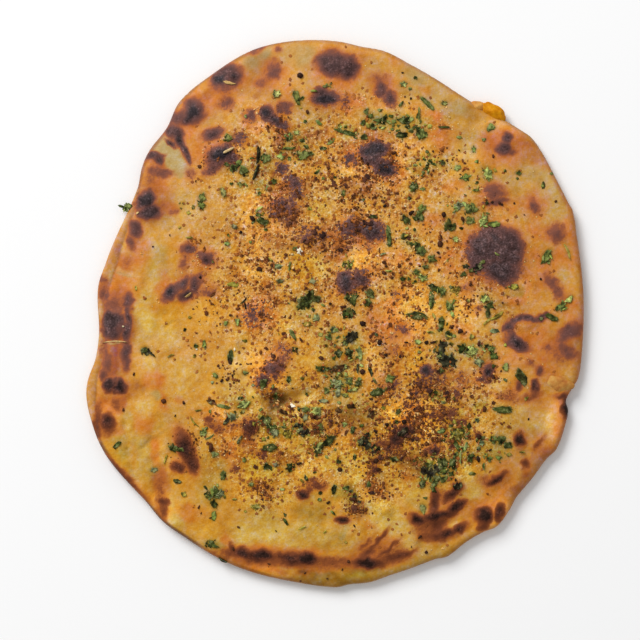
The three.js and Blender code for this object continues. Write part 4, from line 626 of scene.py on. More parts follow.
# Single seeds: x, y, size
SEEDS = [
    (-30.2, 18, 2.4), (-37.8, 32.7, 2), (-33.1, 38.2, 2.4), (-68.6, -34.8, 1.7), (-84.8, -38.3, 1.6),
    (-60.6, -35.4, 1.5), (-45.4, -26.6, 1.9), (-40.6, -27.4, 1), (-49.9, -53.2, 2.8), (-55.7, -49.9, 1.8),
    (-11.8, 10.4, 1.5), (-16.4, 5.6, 1.9), (-2.2, 4, 2.3), (3, 2.9, 2.7), (-13.8, -10.2, 1.9),
    (-12.2, -6.9, 1), (-5.6, -17.6, 2.2), (-17.1, -29.7, 1.2), (7.2, 47.3, 1.8), (19.7, 43.1, 1.8),
    (30.3, 40.4, 2), (43.2, 39.6, 1.8), (50.6, 38, 1.9), (41.7, 28, 2.5), (44.6, 26.4, 1.8), (7, 15.8, 1.3),
    (20.1, 19.1, 1.3), (19.2, 16.4, 1.5), (53.9, 11.8, 1.8), (47.9, 10.9, 1), (49.2, 10.7, 1),
    (10.6, -3.8, 2.2), (13.9, -9.1, 1.4), (13.4, -11.6, 1.5), (17.4, -11.3, 2.5), (28.1, -11.3, 1.5),
    (36.3, -11.3, 1.9), (39, -11.3, 1.9), (20.1, -16.4, 1.6), (25.7, -16.9, 1.2), (34.3, -17.6, 1.5),
    (46.3, -5.6, 1.2), (49.7, -6.9, 1.9), (57.2, -11.8, 2.3), (71.4, 44, 1.2), (75.4, 39.6, 1),
    (10.8, -23.2, 2.1), (14.1, -33.9, 1.5), (15.9, -46.8, 1.9), (20.6, -44.1, 1.8), (27.4, -42.8, 2),
    (59.4, -37.9, 2), (57.2, -48.8, 1.8), (56.9, -57.7, 2.2), (61.7, -54.3, 1.8), (16.3, -58.6, 2.4),
    (16.8, -62.1, 2.9), (1.7, -62.1, 1.6), (-14.7, -59.7, 2.2), (47.9, -66.1, 1.6), (7.4, -71.8, 1.9),
    (7, -73.9, 2.4), (-2.8, -75.2, 1.5), (7.5, -84.6, 1.3), (33.7, -89, 1.9), (30.3, -93, 1),
    (36.3, -95.2, 1.2), (-23.8, -86.6, 1), (-38.8, -85.2, 1.7), (-49.9, -81.4, 1.2), (-54.5, -77, 1.5),
    (-53.7, -79.6, 1), (5.3, -99, 1.2), (2.7, -102.3, 1.2), (-3.3, -105.9, 1), (-12.2, -103.7, 1),
    (-14, -107, 1), (-14, 95.2, 2.3), (-11.2, 80.6, 2), (26.8, 96.5, 1.2), (27.7, 86.8, 1.2),
    (30.1, 86.1, 1.2), (29.4, 84.3, 1.2), (39, 57.2, 1.4), (27.7, 63.4, 1.5), (-54.1, 58.8, 1.5),
    (41, 24.5, 1.5), (-40.9, -93.9, 1.4), (12.8, 59.9, 1.6), (10.4, 62, 1.4), (23.6, 64.4, 1.4),
    (-66.2, 31.6, 1), (-73, 27, 1), (-54, 14.6, 1.3), (-80.6, -24, 1.2), (-64, -40.6, 1), (66.6, 4.4, 1.2),
    (82, 14, 1), (77, -42, 1), (88, 45, 1), (63, 63, 1.3), (60.2, 45.4, 1.4), (65.4, 44.2, 1.6),
    (66.4, 43.6, 1.2), (62.4, 44.6, 1), (41, 62.4, 0.8), (42.6, 61.2, 0.8), (44.6, 60.9, 0.8),
    (46.6, 61.6, 0.8), (48.4, 63.2, 0.8), (49.3, 65.4, 0.8), (71.4, 44.4, 1),
]

# Bits of onion, salt and pale crust: x, y, length, width, turn in degrees, whiteness
WHITE_BITS = [
    (-14.4, 25, 3.4, 2.8, -60, 0.9), (-17.3, -36.6, 2.8, 2, -10, 1), (-84.8, -5, 1, 0.8, 0, 0.6),
    (17.4, -12.4, 1.6, 1, 0, 0.9), (-40.3, -14, 1.5, 1, 90, 0.8), (-55.4, -14, 1.1, 1, 0, 0.8),
    (27.7, 42.9, 1.3, 1.2, 0, 0.5), (-17.3, 23.8, 1.5, 1, 0, 0.3), (-42.6, 65.2, 5.4, 1.2, 28, 0.2),
    (-42.6, 92.4, 5.2, 1.3, -12, 0), (-58.8, 7.6, 3.2, 0.9, 35, 0), (-88.2, -11.4, 10.4, 0.45, 1, 0.1),
    (-79.3, 40.4, 1.6, 0.8, 40, 0.1),
]

# Colours as seen in sRGB, 0 to 255
GOLD = (210, 150, 70)
WARM_GOLD = (216, 142, 60)
ORANGE = (204, 116, 56)
# Olive painted shade on the dough round the leaves
LEAF_SHADE = (112, 100, 44)
RIM_LINE = (150, 100, 58)
LIP_TAN = (204, 148, 86)
LIP_BROWN = (168, 96, 62)
LIP_FLOUR = (212, 176, 112)
# Painted shade along the step from the upper layer down to the lip
LIP_STEP_SHADE = (120, 74, 48)
UNDERSIDE = (208, 152, 70)
POTATO_SPECK = (112, 62, 20)
# Painted highlight on the leaves' ridges
LEAF_HIGHLIGHT = (146, 148, 98)
TINT_COLOURS = {
    "khaki": (198, 159, 93), "gold": (222, 160, 62), "amber": (182, 120, 34), "orange": (206, 119, 58),
    "rust": (156, 84, 52), "maroon": (148, 72, 54), "olive": (144, 128, 50), "umber": (88, 60, 32),
    "pale": (219, 178, 104), "flour": (186, 158, 102), "moss": (150, 126, 54),
}
BURN_TONES = [
    (0.0, (206, 120, 54)), (0.2, (178, 98, 50)), (0.36, (144, 85, 62)), (0.52, (114, 72, 62)),
    (0.7, (89, 61, 58)), (0.85, (70, 54, 54)), (1.0, (44, 38, 42)),
]
LOWER_BURN_TONES = [
    (0.0, (206, 120, 46)), (0.2, (180, 100, 42)), (0.36, (148, 82, 42)), (0.52, (116, 62, 36)),
    (0.7, (86, 47, 32)), (0.85, (62, 36, 28)), (1.0, (42, 27, 22)),
]
LEAF_TONES = {
    "black": (48, 44, 28), "dark": (67, 73, 31), "mid": (98, 107, 50), "light": (140, 147, 80),
    "grey": (116, 120, 80), "olive": (134, 118, 44), "yellow": (152, 142, 58), "brown": (88, 56, 30),
}

# The light that reaches the floor, in the units in which white is 1
LIGHT_ON_FLOOR = 1.1


def linear(colour):
    """The linear values of an sRGB colour, for a surface under this scene's light."""
    share = np.asarray(colour, float) / 255
    return np.where(share <= 0.04045, share / 12.92, ((share + 0.055) / 1.055) ** 2.4) / LIGHT_ON_FLOOR


# Shape of the bread
def outline_polar():
    points = np.array(OUTLINE, float)
    angle = np.arctan2(points[:, 1], points[:, 0])
    order = np.argsort(angle)
    return angle[order], np.hypot(points[order, 0], points[order, 1])


RIM_ANGLE, RIM_RADIUS = outline_polar()


def reach(angle):
    """Radius of the bread in each direction: a cubic curve through the outline's points."""
    turn = 2 * math.pi
    angles = np.concatenate([RIM_ANGLE[-2:] - turn, RIM_ANGLE, RIM_ANGLE[:2] + turn])
    radii = np.concatenate([RIM_RADIUS[-2:], RIM_RADIUS, RIM_RADIUS[:2]])
    k = np.searchsorted(angles, angle, side="right") - 1
    span = angles[k + 1] - angles[k]
    slope_in = (radii[k + 1] - radii[k - 1]) / (angles[k + 1] - angles[k - 1])
    slope_out = (radii[k + 2] - radii[k]) / (angles[k + 2] - angles[k])
    t = (angle - angles[k]) / span
    rise = t * t * (3 - 2 * t)
    start_pull = t * (1 - t) ** 2 * span * slope_in
    end_pull = t * t * (t - 1) * span * slope_out
    return radii[k] + (radii[k + 1] - radii[k]) * rise + start_pull + end_pull


def smooth(value, low, high):
    share = np.clip((value - low) / (high - low), 0, 1)
    return share * share * (3 - 2 * share)


def inside_rim(x, y):
    """How far each place lies in from the outermost edge."""
    return reach(np.arctan2(y, x)) - np.hypot(x, y)


def lip_width(x, y):
    return np.where(x > 0, 0, np.interp(y, LIP_Y, LIP_WIDTH, left=0, right=0))


def ellipse_share(x, y, place):
    """Squared distance from the middle of an ellipse, 1 on its edge."""
    middle_x, middle_y, length, width, turn = place[:5]
    cos = math.cos(math.radians(turn))
    sin = math.sin(math.radians(turn))
    along = (x - middle_x) * cos + (y - middle_y) * sin
    across = (y - middle_y) * cos - (x - middle_x) * sin
    return (2 * along / length) ** 2 + (2 * across / width) ** 2


def line_distance(x, y, line):
    from_x, from_y, to_x, to_y = line[:4]
    length_squared = (to_x - from_x) ** 2 + (to_y - from_y) ** 2
    t = np.clip(((x - from_x) * (to_x - from_x) + (y - from_y) * (to_y - from_y)) / length_squared, 0, 1)
    return np.hypot(x - from_x - t * (to_x - from_x), y - from_y - t * (to_y - from_y))


def blister_rise(x, y):
    rise = np.zeros_like(x)
    for place in BLISTERS:
        away = np.clip(ellipse_share(x, y, place), 0, 1)
        rise = np.maximum(rise, place[5] * (1 - away) ** 1.5)
    return rise


def crease_rise(x, y, creases):
    rise = np.zeros_like(x)
    for line in creases:
        rise += line[5] * np.exp(-((line_distance(x, y, line) / line[4]) ** 2))
    return rise


def dough_waves(x, y):
    """The broad unevenness of the stretched dough."""
    broad = 0.5 * np.sin(x / 17 + 0.6) * np.cos(y / 21 - 0.4)
    slanting = 0.3 * np.sin((x + y) / 12 + 1.3)
    small = 0.2 * np.sin(x / 7.5 - y / 9 + 0.5)
    return broad + slanting + small


def curl(angle):
    """How far the rim lifts off the floor in each direction."""
    return CURL * (1 + 0.45 * np.sin(2 * angle + 1) + 0.3 * np.sin(5 * angle + 0.4))


def underside(x, y):
    """Height of the bottom, which curls up towards the rim."""
    return curl(np.arctan2(y, x)) * (1 - smooth(inside_rim(x, y), 0, CURL_WIDTH))


def dome(inside):
    """Thickness of the bread without its relief."""
    return RIM_THICKNESS + (CROWN - RIM_THICKNESS) * smooth(inside, 0, RIM_SLOPE)


def rounded(share):
    """A quarter of a circle that rises steeply from 0 to 1."""
    return np.sqrt(1 - (1 - np.clip(share, 0, 1)) ** 2)


# Cells of the noise's square grid, and where the bread's middle lies on it
NOISE_CELLS = 256
NOISE_MIDDLE = (128.37, 127.81)


def value_noise(x, y, size, seed):
    """Smooth noise between -1 and 1 with features of this size."""
    lattice = np.random.default_rng(seed).uniform(-1, 1, (NOISE_CELLS + 1, NOISE_CELLS + 1))
    u = x / size + NOISE_MIDDLE[0]
    v = y / size + NOISE_MIDDLE[1]
    i = np.floor(u).astype(int)
    j = np.floor(v).astype(int)
    s = smooth(u - i, 0, 1)
    t = smooth(v - j, 0, 1)
    i = i % NOISE_CELLS
    j = j % NOISE_CELLS
    low = lattice[i, j] * (1 - s) + lattice[i + 1, j] * s
    high = lattice[i, j + 1] * (1 - s) + lattice[i + 1, j + 1] * s
    return low * (1 - t) + high * t


def layered_noise(x, y, size, seed):
    """Three layers of noise, each half as large and half as strong as the one before."""
    total = value_noise(x, y, size, seed)
    total = total + 0.5 * value_noise(x + 0.3 * y, y - 0.3 * x, size / 2, seed + 1)
    return (total + 0.25 * value_noise(x - 0.4 * y, y + 0.4 * x, size / 4, seed + 2)) / 1.75


def bent(x, y, coarse, fine, seed):
    """Places moved by noise of two amounts and sizes, so that the edges drawn from them run unevenly."""
    moved = []
    for value, first in ((x, seed), (y, seed + 2)):
        far = coarse[0] * value_noise(x, y, coarse[1], first)
        near = fine[0] * value_noise(x, y, fine[1], first + 1)
        moved.append(value + far + near)
    return moved


def patches(x, y, places, softness=1.0):
    """The strongest of several elliptical patches, each fading out towards its edge."""
    value = np.zeros_like(x)
    for place in places:
        fade = np.clip((1.15 - np.sqrt(ellipse_share(x, y, place))) / (0.8 * softness), 0, 1)
        value = np.maximum(value, place[5] * fade * fade * (3 - 2 * fade))
    return value


def soft_share(x, y, place):
    """The strength of one broad, soft patch: all of it inside, about a third on the ellipse's edge."""
    return place[5] * smooth(np.sqrt(ellipse_share(x, y, place)), 1.35, 0.5)


def tint_share(x, y, places):
    """How much of a broad tone lies at each place: the strongest of its patches."""
    value = np.zeros_like(x)
    for place in places:
        value = np.maximum(value, soft_share(x, y, place))
    return value


def burn(x, y):
    """How burnt the crust is: about two thirds of its strength on each burn's edge, all of it inside."""
    bend_x, bend_y = bent(x, y, (0.9, 4.5), (0.6, 1.7), 11)
    value = np.zeros_like(x)
    for place in BURNS:
        length, width, _, strength, edge = place[2:]
        depth = (1 - np.sqrt(ellipse_share(bend_x, bend_y, place))) * min(length, width) / 2
        value = np.maximum(value, strength * smooth(depth, -1.7 * edge, 1.1 * edge))
    return value


def burn_glow(x, y):
    """The warm ring round each burn."""
    value = np.zeros_like(x)
    for place in BURNS:
        half = min(place[2], place[3]) / 2
        outside = np.clip(np.sqrt(ellipse_share(x, y, place)) - 1, 0, None) * half
        value = np.maximum(value, place[5] * np.exp(-((outside / (1.2 + 0.45 * half)) ** 2)))
    return value


def fine_relief(x, y):
    """Relief too fine for the solids: crags on the burns, wrinkles, and the skin of the dough."""
    behind = smooth(inside_rim(x, y) - lip_width(x, y), 0.5, 5)
    crags = burn(x, y) * (CRAGS * layered_noise(x, y, 2.4, 21) + SWELLING)
    skin = SKIN * layered_noise(x, y, 9, 31) + SKIN_GRAIN * value_noise(x, y, 2.2, 34)
    dots = patches(x, y, SPICE_PATCHES) * SPICE_RELIEF * value_noise(x, y, 1.5, 37)
    return behind * (crags + skin + dots + crease_rise(x, y, WRINKLES))


def crust(x, y):
    """Height of the top of the bread, with the same formulas as the solids plus the fine relief."""
    inside = inside_rim(x, y)
    floor = underside(x, y)
    lip = lip_width(x, y)
    behind = inside - lip
    on_lip = floor + LIP_EDGE + (LIP_HEIGHT - LIP_EDGE) * rounded(inside / (RIM_ROUNDING / 2))
    waves = dough_waves(x, y) * smooth(behind, 0, WAVES_FROM_RIM)
    relief = blister_rise(x, y) + crease_rise(x, y, CREASES) + waves
    edge = np.where(lip > 0.5, LIP_HEIGHT, EDGE_HEIGHT)
    rise = (dome(behind) + relief - edge) * rounded(behind / RIM_ROUNDING)
    on_top = floor + edge + rise + fine_relief(x, y)
    return np.where(behind < 0, on_lip, on_top)


# Meshes
def disc(cells, radius_at):
    """Places of a square grid pulled out to the outline, its faces, and its rim in order."""
    a, b = np.meshgrid(np.linspace(-1, 1, cells + 1), np.linspace(-1, 1, cells + 1), indexing="ij")
    ring = np.maximum(np.abs(a), np.abs(b))
    share = ring + RIM_CROWDING * ring * (1 - ring)
    with np.errstate(divide="ignore", invalid="ignore"):
        sideways = math.pi / 4 * (b / a) + np.where(a < 0, math.pi, 0)
        upright = math.pi / 2 - math.pi / 4 * (a / b) + np.where(b < 0, math.pi, 0)
    angle = np.where(np.abs(a) > np.abs(b), sideways, upright)
    angle = np.where(ring == 0, 0, angle)
    angle = np.arctan2(np.sin(angle), np.cos(angle))
    radius = share * radius_at(angle)
    x = (radius * np.cos(angle)).ravel()
    y = (radius * np.sin(angle)).ravel()
    index = np.arange((cells + 1) ** 2).reshape(cells + 1, cells + 1)
    faces = np.stack([index[:-1, :-1], index[1:, :-1], index[1:, 1:], index[:-1, 1:]], -1).reshape(-1, 4)
    rim = np.concatenate([index[-1, :-1], index[:0:-1, -1], index[0, :0:-1], index[:-1, 0]])
    return x, y, faces, rim


def turned(x, y, along, across, degrees):
    """The places this far along and across a direction that is turned from +X, starting at x, y."""
    cos = math.cos(math.radians(degrees))
    sin = math.sin(math.radians(degrees))
    return x + along * cos - across * sin, y + along * sin + across * cos


def closed_disc(upper, upper_z, lower, lower_z):
    """One closed surface from two discs; the upper rim has a whole number of times the lower rim's points."""
    upper_x, upper_y, upper_faces, upper_rim = upper
    lower_x, lower_y, lower_faces, lower_rim = lower
    points = np.concatenate([
        np.stack([upper_x, upper_y, upper_z], -1),
        np.stack([lower_x, lower_y, lower_z], -1),
    ])
    low = lower_rim + len(upper_x)
    ratio = len(upper_rim) // len(low)
    faces = upper_faces.tolist() + (lower_faces[:, ::-1] + len(upper_x)).tolist()
    for k in range(len(low)):
        for m in range(ratio):
            here = upper_rim[k * ratio + m]
            after = upper_rim[(k * ratio + m + 1) % len(upper_rim)]
            faces.append([int(low[k]), int(after), int(here)])
        after = (k + 1) % len(low)
        faces.append([int(low[k]), int(low[after]), int(upper_rim[((k + 1) * ratio) % len(upper_rim)])])
    return points, faces


def make_piece(name, points, faces, material, smooth_faces=True):
    """A piece from points in millimetres of the photograph's frame."""
    mesh = bpy.data.meshes.new(name)
    placed = (np.asarray(points, float) + FRAME_SHIFT) * MM
    mesh.from_pydata(placed.tolist(), [], faces)
    mesh.update()
    mesh.polygons.foreach_set("use_smooth", [smooth_faces] * len(mesh.polygons))
    mesh.materials.append(material)
    piece = bpy.data.objects.new(name, mesh)
    bpy.context.scene.collection.objects.link(piece)
    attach(piece, "root")
    return piece


def frame_shift():
    """What brings the middle of the bread's box to the origin, as in the part's source."""
    angle = np.linspace(-math.pi, math.pi, 20001)[:-1]
    x = reach(angle) * np.cos(angle)
    y = reach(angle) * np.sin(angle)
    return np.array([-(x.min() + x.max()) / 2, -(y.min() + y.max()) / 2, 0])


FRAME_SHIFT = frame_shift()


def keep_value(piece, name, values):
    attribute = piece.data.attributes.new(name, "FLOAT", "POINT")
    attribute.data.foreach_set("value", np.asarray(values, np.float32))


def keep_colour(piece, name, colours):
    attribute = piece.data.attributes.new(name, "FLOAT_COLOR", "POINT")
    rows = np.ones((len(colours), 4), np.float32)
    rows[:, :3] = colours
    attribute.data.foreach_set("color", rows.ravel())


def blend(base, colour, share):
    share = np.clip(share, 0, 1)[:, None]
    return base * (1 - share) + linear(colour) * share


# Materials

# Noise in the materials: size in mm, layers, roughness, seed
NOISES = {
    "soft": (6, 6, 0.68, 2.0),
    "cream": (1.7, 4, 0.62, 27.0),
    "broad": (2.8, 3, 0.6, 4.0),
    "fine": (1.3, 3, 0.6, 1.0),
    "grit": (0.7, 2, 0.6, 14.0),
    "ragged": (3.6, 5, 0.6, 9.0),
    "ridges": (3.2, 3, 0.6, 33.0),
    "potato": (2.2, 4, 0.6, 5.0),
    "baked": (4, 5, 0.65, 35.0),
    "folds": (1.7, 3, 0.6, 8.0),
    "stone": (0.7, 2, 0.5, 6.0),
}


class Shader:
    """A node material with short calls for the nodes that it needs."""

    def __init__(self, name):
        self.material = bpy.data.materials.new(name)
        self.material.use_nodes = True
        self.tree = self.material.node_tree
        self.surface = self.tree.nodes["Principled BSDF"]
        coordinates = self.tree.nodes.new("ShaderNodeTexCoord")
        scaled = self.tree.nodes.new("ShaderNodeVectorMath")
        scaled.operation = "SCALE"
        scaled.inputs["Scale"].default_value = 1 / MM
        self.tree.links.new(coordinates.outputs["Object"], scaled.inputs[0])
        self.place = scaled.outputs[0]

    def feed(self, socket, value):
        if isinstance(value, bpy.types.NodeSocket):
            self.tree.links.new(value, socket)
        elif isinstance(value, (tuple, list, np.ndarray)):
            socket.default_value = (*[float(v) for v in value], 1.0)
        else:
            socket.default_value = value

    def attribute(self, name, output="Fac"):
        node = self.tree.nodes.new("ShaderNodeAttribute")
        node.attribute_name = name
        return node.outputs[output]

    def noise(self, name):
        """The noise of this name."""
        size, detail, roughness, seed = NOISES[name]
        node = self.tree.nodes.new("ShaderNodeTexNoise")
        node.noise_dimensions = "4D"
        node.inputs["W"].default_value = seed
        node.inputs["Scale"].default_value = 1 / size
        node.inputs["Detail"].default_value = detail
        node.inputs["Roughness"].default_value = roughness
        self.tree.links.new(self.place, node.inputs["Vector"])
        return node.outputs["Fac"]

    def streaks(self, size, stretch, turn, seed):
        """Noise drawn out along one direction, which is turned this many degrees from +X."""
        mapping = self.tree.nodes.new("ShaderNodeMapping")
        mapping.vector_type = "TEXTURE"
        mapping.inputs["Rotation"].default_value = (0, 0, math.radians(turn))
        mapping.inputs["Scale"].default_value = (size * stretch, size, size)
        self.tree.links.new(self.place, mapping.inputs["Vector"])
        node = self.tree.nodes.new("ShaderNodeTexNoise")
        node.noise_dimensions = "4D"
        node.inputs["W"].default_value = seed
        node.inputs["Scale"].default_value = 1.0
        node.inputs["Detail"].default_value = 3
        self.tree.links.new(mapping.outputs[0], node.inputs["Vector"])
        return node.outputs["Fac"]

    def cells(self, size, seed):
        """Distance from the middle of a random cell, and two random numbers of that cell."""
        node = self.tree.nodes.new("ShaderNodeTexVoronoi")
        node.voronoi_dimensions = "2D"
        node.inputs["Scale"].default_value = 1 / size
        moved = self.tree.nodes.new("ShaderNodeVectorMath")
        moved.inputs[1].default_value = (17.3 * seed, 9.1 * seed, 0)
        self.tree.links.new(self.place, moved.inputs[0])
        self.tree.links.new(moved.outputs[0], node.inputs["Vector"])
        parts = self.tree.nodes.new("ShaderNodeSeparateColor")
        self.tree.links.new(node.outputs["Color"], parts.inputs["Color"])
        return node.outputs["Distance"], parts.outputs[0], parts.outputs[1]

    def maths(self, operation, *values):
        node = self.tree.nodes.new("ShaderNodeMath")
        node.operation = operation
        for socket, value in zip(node.inputs, values):
            self.feed(socket, value)
        return node.outputs[0]

    def swing(self, share, value):
        """How far a noise is from its middle, times the share."""
        return self.maths("MULTIPLY", share, self.maths("SUBTRACT", value, 0.5))

    def spread(self, value, low, high, to_low=0.0, to_high=1.0):
        """The value from low to high, eased into another range."""
        node = self.tree.nodes.new("ShaderNodeMapRange")
        node.interpolation_type = "SMOOTHSTEP"
        self.feed(node.inputs["Value"], value)
        node.inputs["From Min"].default_value = low
        node.inputs["From Max"].default_value = high
        node.inputs["To Min"].default_value = to_low
        node.inputs["To Max"].default_value = to_high
        return node.outputs["Result"]

    def mix(self, share, first, second, kind="MIX"):
        node = self.tree.nodes.new("ShaderNodeMix")
        node.data_type = "RGBA"
        node.blend_type = kind
        self.feed(node.inputs[0], share)
        self.feed(node.inputs[6], first)
        self.feed(node.inputs[7], second)
        return node.outputs[2]

    def ramp(self, value, stops):
        """A ramp of sRGB colours."""
        return self.factor_ramp(value, [(at, linear(colour)) for at, colour in stops])

    def factor_ramp(self, value, stops):
        """A ramp of plain numbers, for use as colours or as factors."""
        node = self.tree.nodes.new("ShaderNodeValToRGB")
        self.feed(node.inputs["Fac"], value)
        elements = node.color_ramp.elements
        while len(elements) < len(stops):
            elements.new(0.5)
        for element, (at, numbers) in zip(elements, stops):
            element.position = at
            element.color = (*[float(v) for v in numbers], 1.0)
        return node.outputs["Color"]

    def vary(self, colour, value, stops, share=1.0):
        """The colour multiplied by a ramp of factors, as strongly as the share says."""
        product = self.mix(1.0, colour, self.factor_ramp(value, stops), "MULTIPLY")
        return self.mix(share, colour, product)

    def bump(self, height, depth, strength):
        node = self.tree.nodes.new("ShaderNodeBump")
        node.inputs["Distance"].default_value = depth * MM
        node.inputs["Strength"].default_value = strength
        self.feed(node.inputs["Height"], height)
        self.tree.links.new(node.outputs["Normal"], self.surface.inputs["Normal"])

    def finish(self, colour, roughness, specular):
        self.feed(self.surface.inputs["Base Color"], colour)
        self.feed(self.surface.inputs["Roughness"], roughness)
        self.feed(self.surface.inputs["Specular IOR Level"], specular)
        return self.material


# Factors on the dough's colour, from the low to the high end of a noise, for each channel
SOFT_FACTORS = [
    (0.3, (0.8, 0.68, 0.4)), (0.42, (0.96, 0.9, 0.74)), (0.5, (1, 1, 1)), (0.58, (1.04, 1.1, 1.35)),
    (0.7, (1.08, 1.26, 2)),
]
STREAK_FACTORS = [
    (0.32, (0.84, 0.72, 0.56)), (0.42, (0.95, 0.91, 0.84)), (0.5, (1, 1, 1)), (0.58, (1.06, 1.1, 1.24)),
    (0.68, (1.14, 1.24, 1.6)),
]
CREAM_FACTORS = [
    (0.36, (1.0, 0.92, 0.42)), (0.45, (1.0, 0.97, 0.74)), (0.5, (1, 1, 1)), (0.56, (1.0, 1.05, 1.5)),
    (0.64, (1.0, 1.12, 2.2)),
]
BROAD_FACTORS = [
    (0.3, (0.84, 0.64, 0.62)), (0.43, (1.04, 0.96, 0.82)), (0.54, (1.12, 1.14, 1.1)),
    (0.7, (1.15, 1.32, 1.5)),
]
# FINE_FACTORS follow the fine and grit noises, which are also the crust's bump: the spice's own mottling with
# painted shade in the hollows and painted highlights on the tips
FINE_FACTORS = [
    (0.34, (0.66, 0.46, 0.12)), (0.43, (0.91, 0.8, 0.46)), (0.5, (1.03, 1.03, 0.96)),
    (0.57, (1.09, 1.24, 1.7)), (0.66, (1.13, 1.5, 3.2)),
]
# CHAR_FACTORS pale the char to near white at the high end of the bump's noises: painted sparkle highlights
CHAR_FACTORS = [(0.34, (0.55, 0.52, 0.46)), (0.5, (1, 1, 1)), (0.6, (1.7, 1.75, 1.8)), (0.68, (3, 3, 3))]
# RIDGE_FACTORS pale the char along one noise and darken it between: painted highlights on ridges, painted
# shade between
RIDGE_FACTORS = [(0.36, (0.62, 0.6, 0.58)), (0.5, (1, 1, 1)), (0.62, (1.5, 1.42, 1.36))]

DARK_GRAINS = [(0.0, (80, 46, 28)), (0.5, (116, 66, 34)), (1.0, (150, 88, 42))]
BROWN_GRAINS = [(0.0, (150, 84, 40)), (0.6, (180, 108, 48)), (1.0, (134, 74, 38))]
CRUMBS = [(0.0, (50, 34, 31)), (0.5, (76, 46, 37)), (1.0, (108, 66, 46))]
PALE_GRAINS = [(0.0, (224, 170, 92)), (0.6, (236, 196, 132)), (1.0, (210, 146, 66))]
SEED_TONES = [(0.0, (42, 28, 22)), (0.5, (66, 40, 28)), (1.0, (96, 56, 34))]
ONION_TONES = [(0.0, (196, 160, 98)), (0.6, (228, 210, 168)), (1.0, (244, 234, 210))]
POTATO_TONES = [(0.3, (172, 98, 4)), (0.5, (204, 130, 6)), (0.68, (226, 158, 22))]
BAKED_TONES = [(0.36, (178, 106, 50)), (0.5, (200, 138, 66)), (0.62, (212, 164, 88))]

# Grains in the crust: cell size, seed, share of the cells, edge of the grain, tones
GRAINS = [
    (1.7, 3.0, 0.4, 0.42, BROWN_GRAINS),
    (1.2, 7.0, 0.26, 0.34, PALE_GRAINS),
    (1.35, 11.0, 0.6, 0.4, DARK_GRAINS),
    (0.95, 15.0, 0.4, 0.36, DARK_GRAINS),
]


def spice_mottle(shader, colour, spice, fine, grit):
    """The crushed spice that is baked into the crust, in three sizes of grain; the two finer ones follow the
    bump's noises, so they also paint shade in its hollows and highlights on its tips.
    """
    broad = shader.noise("broad")
    colour = shader.vary(colour, broad, BROAD_FACTORS, shader.spread(spice, 0, 0.8, 0.12, 0.9))
    colour = shader.vary(colour, fine, FINE_FACTORS, shader.spread(spice, 0, 0.7, 0.06, 0.8))
    return shader.vary(colour, grit, FINE_FACTORS, shader.spread(spice, 0, 0.6, 0.12, 0.6))


def baked_grains(shader, colour, spice, dark_spice, ragged):
    """Grains too small for pieces of their own: the colour with them, and how far they stand out."""
    height = 0.0
    for size, seed, share, edge, tones in GRAINS:
        distance, first, second = shader.cells(size, seed)
        amount = shader.maths("MULTIPLY", dark_spice if tones == DARK_GRAINS else spice, share)
        there = shader.maths("LESS_THAN", first, amount)
        outline = shader.maths("ADD", distance, ragged)
        shape = shader.maths("MULTIPLY", there, shader.spread(outline, edge, edge - 0.14))
        colour = shader.mix(shape, colour, shader.ramp(second, tones))
        height = shader.maths("ADD", height, shape)
    return colour, height


def burnt_crust(shader, colour, spice, fine, grit):
    """The colour with the burns, which are smooth on bare dough and crumbly in the spice, with painted
    sparkle highlights on the crumbly char and painted highlights and shade along its ridges.
    """
    whole = shader.attribute("burn")
    crumbs = shader.swing(shader.spread(spice, 0.1, 0.8, 0.3, 2.1), fine)
    dust = shader.swing(shader.spread(spice, 0.1, 0.8, 0.2, 1.5), grit)
    ragged = shader.swing(shader.spread(spice, 0, 0.6, 0.35, 1.4), shader.noise("ragged"))
    uneven = shader.maths("ADD", shader.maths("ADD", crumbs, dust), ragged)
    uneven = shader.maths("MULTIPLY", uneven, shader.spread(whole, 0.02, 0.3))
    uneven = shader.maths("MULTIPLY", uneven, shader.spread(whole, 0.45, 0.85, 1.0, 0.3))
    burnt = shader.maths("ADD", shader.maths("MULTIPLY", whole, 0.88), uneven)
    burnt = shader.maths("ADD", burnt, shader.spread(whole, 0.88, 1.0, 0.0, 0.1))
    brown = shader.spread(shader.attribute("lower"), 0.5, 1.0)
    tone = shader.mix(brown, shader.ramp(burnt, BURN_TONES), shader.ramp(burnt, LOWER_BURN_TONES))
    charred = shader.spread(burnt, 0.45, 0.85)
    crumbly = shader.maths("MULTIPLY", charred, shader.spread(spice, 0, 0.6, 0.6, 1.0))
    # Painted sparkle highlights on the crumbly char, and painted highlights and shade along its ridges
    tone = shader.vary(tone, grit, CHAR_FACTORS, crumbly)
    tone = shader.vary(tone, fine, CHAR_FACTORS, shader.maths("MULTIPLY", charred, 0.4))
    tone = shader.vary(tone, shader.noise("ridges"), RIDGE_FACTORS, charred)
    shown = shader.maths("SUBTRACT", burnt, shader.spread(spice, 0.1, 0.7, 0.0, 0.2))
    return shader.mix(shader.spread(shown, 0.05, 0.36), colour, tone)


